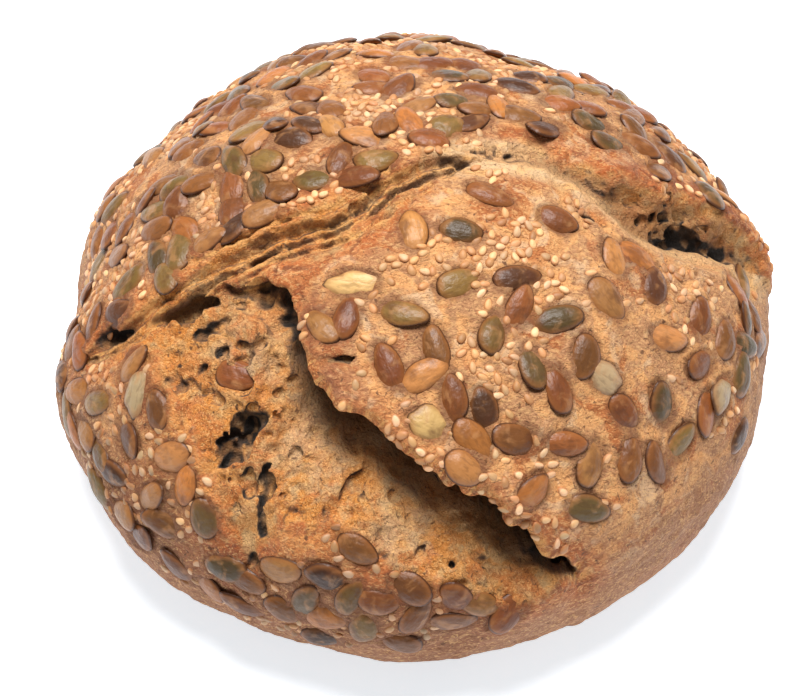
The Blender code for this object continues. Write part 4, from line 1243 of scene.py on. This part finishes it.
def pumpkin_finish():
    """A satin seed in its own tone, worn and burnt in patches, with a golden edge and a dark rim that is
    partly browning and partly painted contact shade.
    """
    skin = Finish("roasted pumpkin seed", 0.4)
    skin.shader.inputs["Specular IOR Level"].default_value = 0.34
    local = skin.attribute("local", "Vector")
    out = skin.attribute("out")
    grain = skin.noise(1.2, 4, stretch=(0.4, 1.2, 1), place=local, twist=0.4)
    skin.colour(skin.lay(skin.attribute("tone", "Color"), shader_tones(PUMPKIN_LAYER_TONES), (
        ("grain", 0.25, skin.span(grain, 0.5, 0.38)),
        ("worn", 0.5, skin.patches(4.2, 4, 0.6, 0.5, 0.7, place=local)),
        ("burnt", 0.55, skin.patches(5.5, 4, 0.0, 0.52, 0.7, place=local)),
        ("edge", 0.5, skin.span(out, 0.6, 0.92)),
        # Dark rim: partly browning, partly painted contact shade.
        ("rim", 0.85, skin.span(out, 0.88, 0.98)),
    )))
    skin.relief([(skin.noise(2.6, 3, place=local), 0.45), (grain, 0.18)])
    return skin.material


def sesame_finish():
    """A pale seed in its own tone, darker in patches and at its rim, which is partly a brown edge and
    partly painted contact shade.
    """
    skin = Finish("sesame seed", 0.55)
    local = skin.attribute("local", "Vector")
    skin.colour(skin.lay(skin.attribute("tone", "Color"), shader_tones(SESAME_LAYER_TONES), (
        # Darker rim: partly a brown edge, partly painted contact shade.
        ("rim", 0.85, skin.span(skin.attribute("out"), 0.62, 0.92)),
        ("worn", 0.6, skin.patches(1.5, 2, 0.0, 0.5, 0.8, place=local)),
    )))
    skin.relief([(skin.noise(0.8, 2, place=local), 0.06)])
    return skin.material


def keep_as_loaf(piece, material):
    """Gives a piece its material and its place in the table: on the root body, in the loaf's stead."""
    piece.data.materials.append(material)
    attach(piece, "root")
    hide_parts("loaf")


def drawn_tones(tones, count, pick):
    """A tone drawn for each of so many seeds."""
    return [tones[pick.integers(len(tones))] for _ in range(count)]


def dressed_loaf():
    """The body, then its seeds: the solid's own at their places, and further ones between."""
    body = loaf_body()
    surface_attributes(body)
    tree = BVHTree.FromObject(body, bpy.context.evaluated_depsgraph_get())
    keep_as_loaf(body, loaf_finish())

    taken = [((u, v), PUMPKIN_GAP) for u, v, _, _ in PLACED_SEEDS]
    scattered = seed_places(PUMPKIN_COUNT, SCATTER_GAP, PUMPKIN_ROOM, taken, pumpkin_chance, seed=21)
    own_sesame = seed_places(
        SESAME_COUNT, SESAME_GAP, SESAME_ROOM, list(taken), sesame_chance, seed=22
    )
    near = [(place, EXTRA_PUMPKIN_GAP) for place, _ in taken]
    extra = seed_places(
        EXTRA_PUMPKIN_COUNT, EXTRA_PUMPKIN_GAP, EXTRA_PUMPKIN_ROOM, near, extra_pumpkin_chance, seed=24
    )
    taken = [(place, SESAME_FROM_PUMPKIN) for place, _ in near]
    taken += [(place, CLUSTER_GAP) for place in own_sesame]
    sesame = own_sesame + clustered_sesame(taken)

    rng = np.random.default_rng(23)
    pick = np.random.default_rng(25)
    pumpkins = [(u, v, turn) for u, v, turn, _ in PLACED_SEEDS] + scattered + extra
    tones = [tone for _, _, _, tone in PLACED_SEEDS]
    tones += drawn_tones(SCATTERED_TONES, len(scattered + extra), pick)
    shape = seed_shape(PUMPKIN_SEED, PUMPKIN_RINGS, *PUMPKIN_FORM)
    seeds, frames = lay_seeds(
        "pumpkin_seeds", tree, shape, PUMPKIN_SEED, pumpkins, tones, PUMPKIN_SINK, rng, PUMPKIN_UNEVEN
    )
    keep_as_loaf(seeds, pumpkin_finish())

    tones = drawn_tones(SESAME_TONES, len(sesame), pick)
    shape = seed_shape(SESAME_SEED, SESAME_RINGS, *SESAME_FORM)
    seeds, _ = lay_seeds(
        "sesame_seeds", tree, shape, SESAME_SEED, sesame, tones, SESAME_SINK, rng, SESAME_UNEVEN
    )
    keep_as_loaf(seeds, sesame_finish())
    seed_collars(body, frames)


def stage_floor():
    """A plain pale floor, wide enough for every view."""
    corners = np.array([(-1, -1, 0), (1, -1, 0), (1, 1, 0), (-1, 1, 0)]) * FLOOR_REACH
    floor = mesh_object("floor", corners, np.array([[0, 1, 2, 3]]))
    paper = Finish("pale floor", 0.9)
    paper.colour(on_screen(*FLOOR_TONE))
    paper.shader.inputs["Emission Color"].default_value = FLOOR_GLOW
    paper.shader.inputs["Emission Strength"].default_value = FLOOR_GLOW_STRENGTH
    floor.data.materials.append(paper.material)


def lamp(name, size, power, place, target):
    """A round soft lamp, its size, place and target in metres and its power in watts."""
    light = bpy.data.lights.new(name, "AREA")
    light.shape = "DISK"
    light.size = size
    light.energy = power
    made = bpy.data.objects.new(name, light)
    made.location = place
    made.rotation_euler = (Vector(place) - Vector(target)).to_track_quat("Z", "Y").to_euler()
    bpy.context.scene.collection.objects.link(made)


def studio():
    """Soft light from high behind, with a bright white room around."""
    scene = bpy.context.scene
    scene.view_settings.view_transform = "Standard"
    world = bpy.data.worlds.new("studio")
    world.use_nodes = True
    room = world.node_tree.nodes["Background"]
    room.inputs["Color"].default_value = ROOM_COLOUR
    room.inputs["Strength"].default_value = ROOM_STRENGTH
    scene.world = world
    lamp("key", size=0.75, power=27.4, place=(-0.04, 0.25, 1.4), target=(0, 0, 0.05))


def photograph_camera():
    """The photograph's own view: from in front and well above."""
    lens = bpy.data.cameras.new("camera")
    lens.lens = CAMERA_LENS
    lens.sensor_width = CAMERA_SENSOR
    camera = bpy.data.objects.new("camera", lens)
    back = Vector((0, -math.cos(CAMERA_ELEVATION), math.sin(CAMERA_ELEVATION)))
    camera.location = CAMERA_TARGET + back * CAMERA_DISTANCE
    camera.rotation_euler = (-back).to_track_quat("-Z", "Y").to_euler()
    bpy.context.scene.collection.objects.link(camera)
    bpy.context.scene.camera = camera


dressed_loaf()
stage_floor()
studio()
photograph_camera()
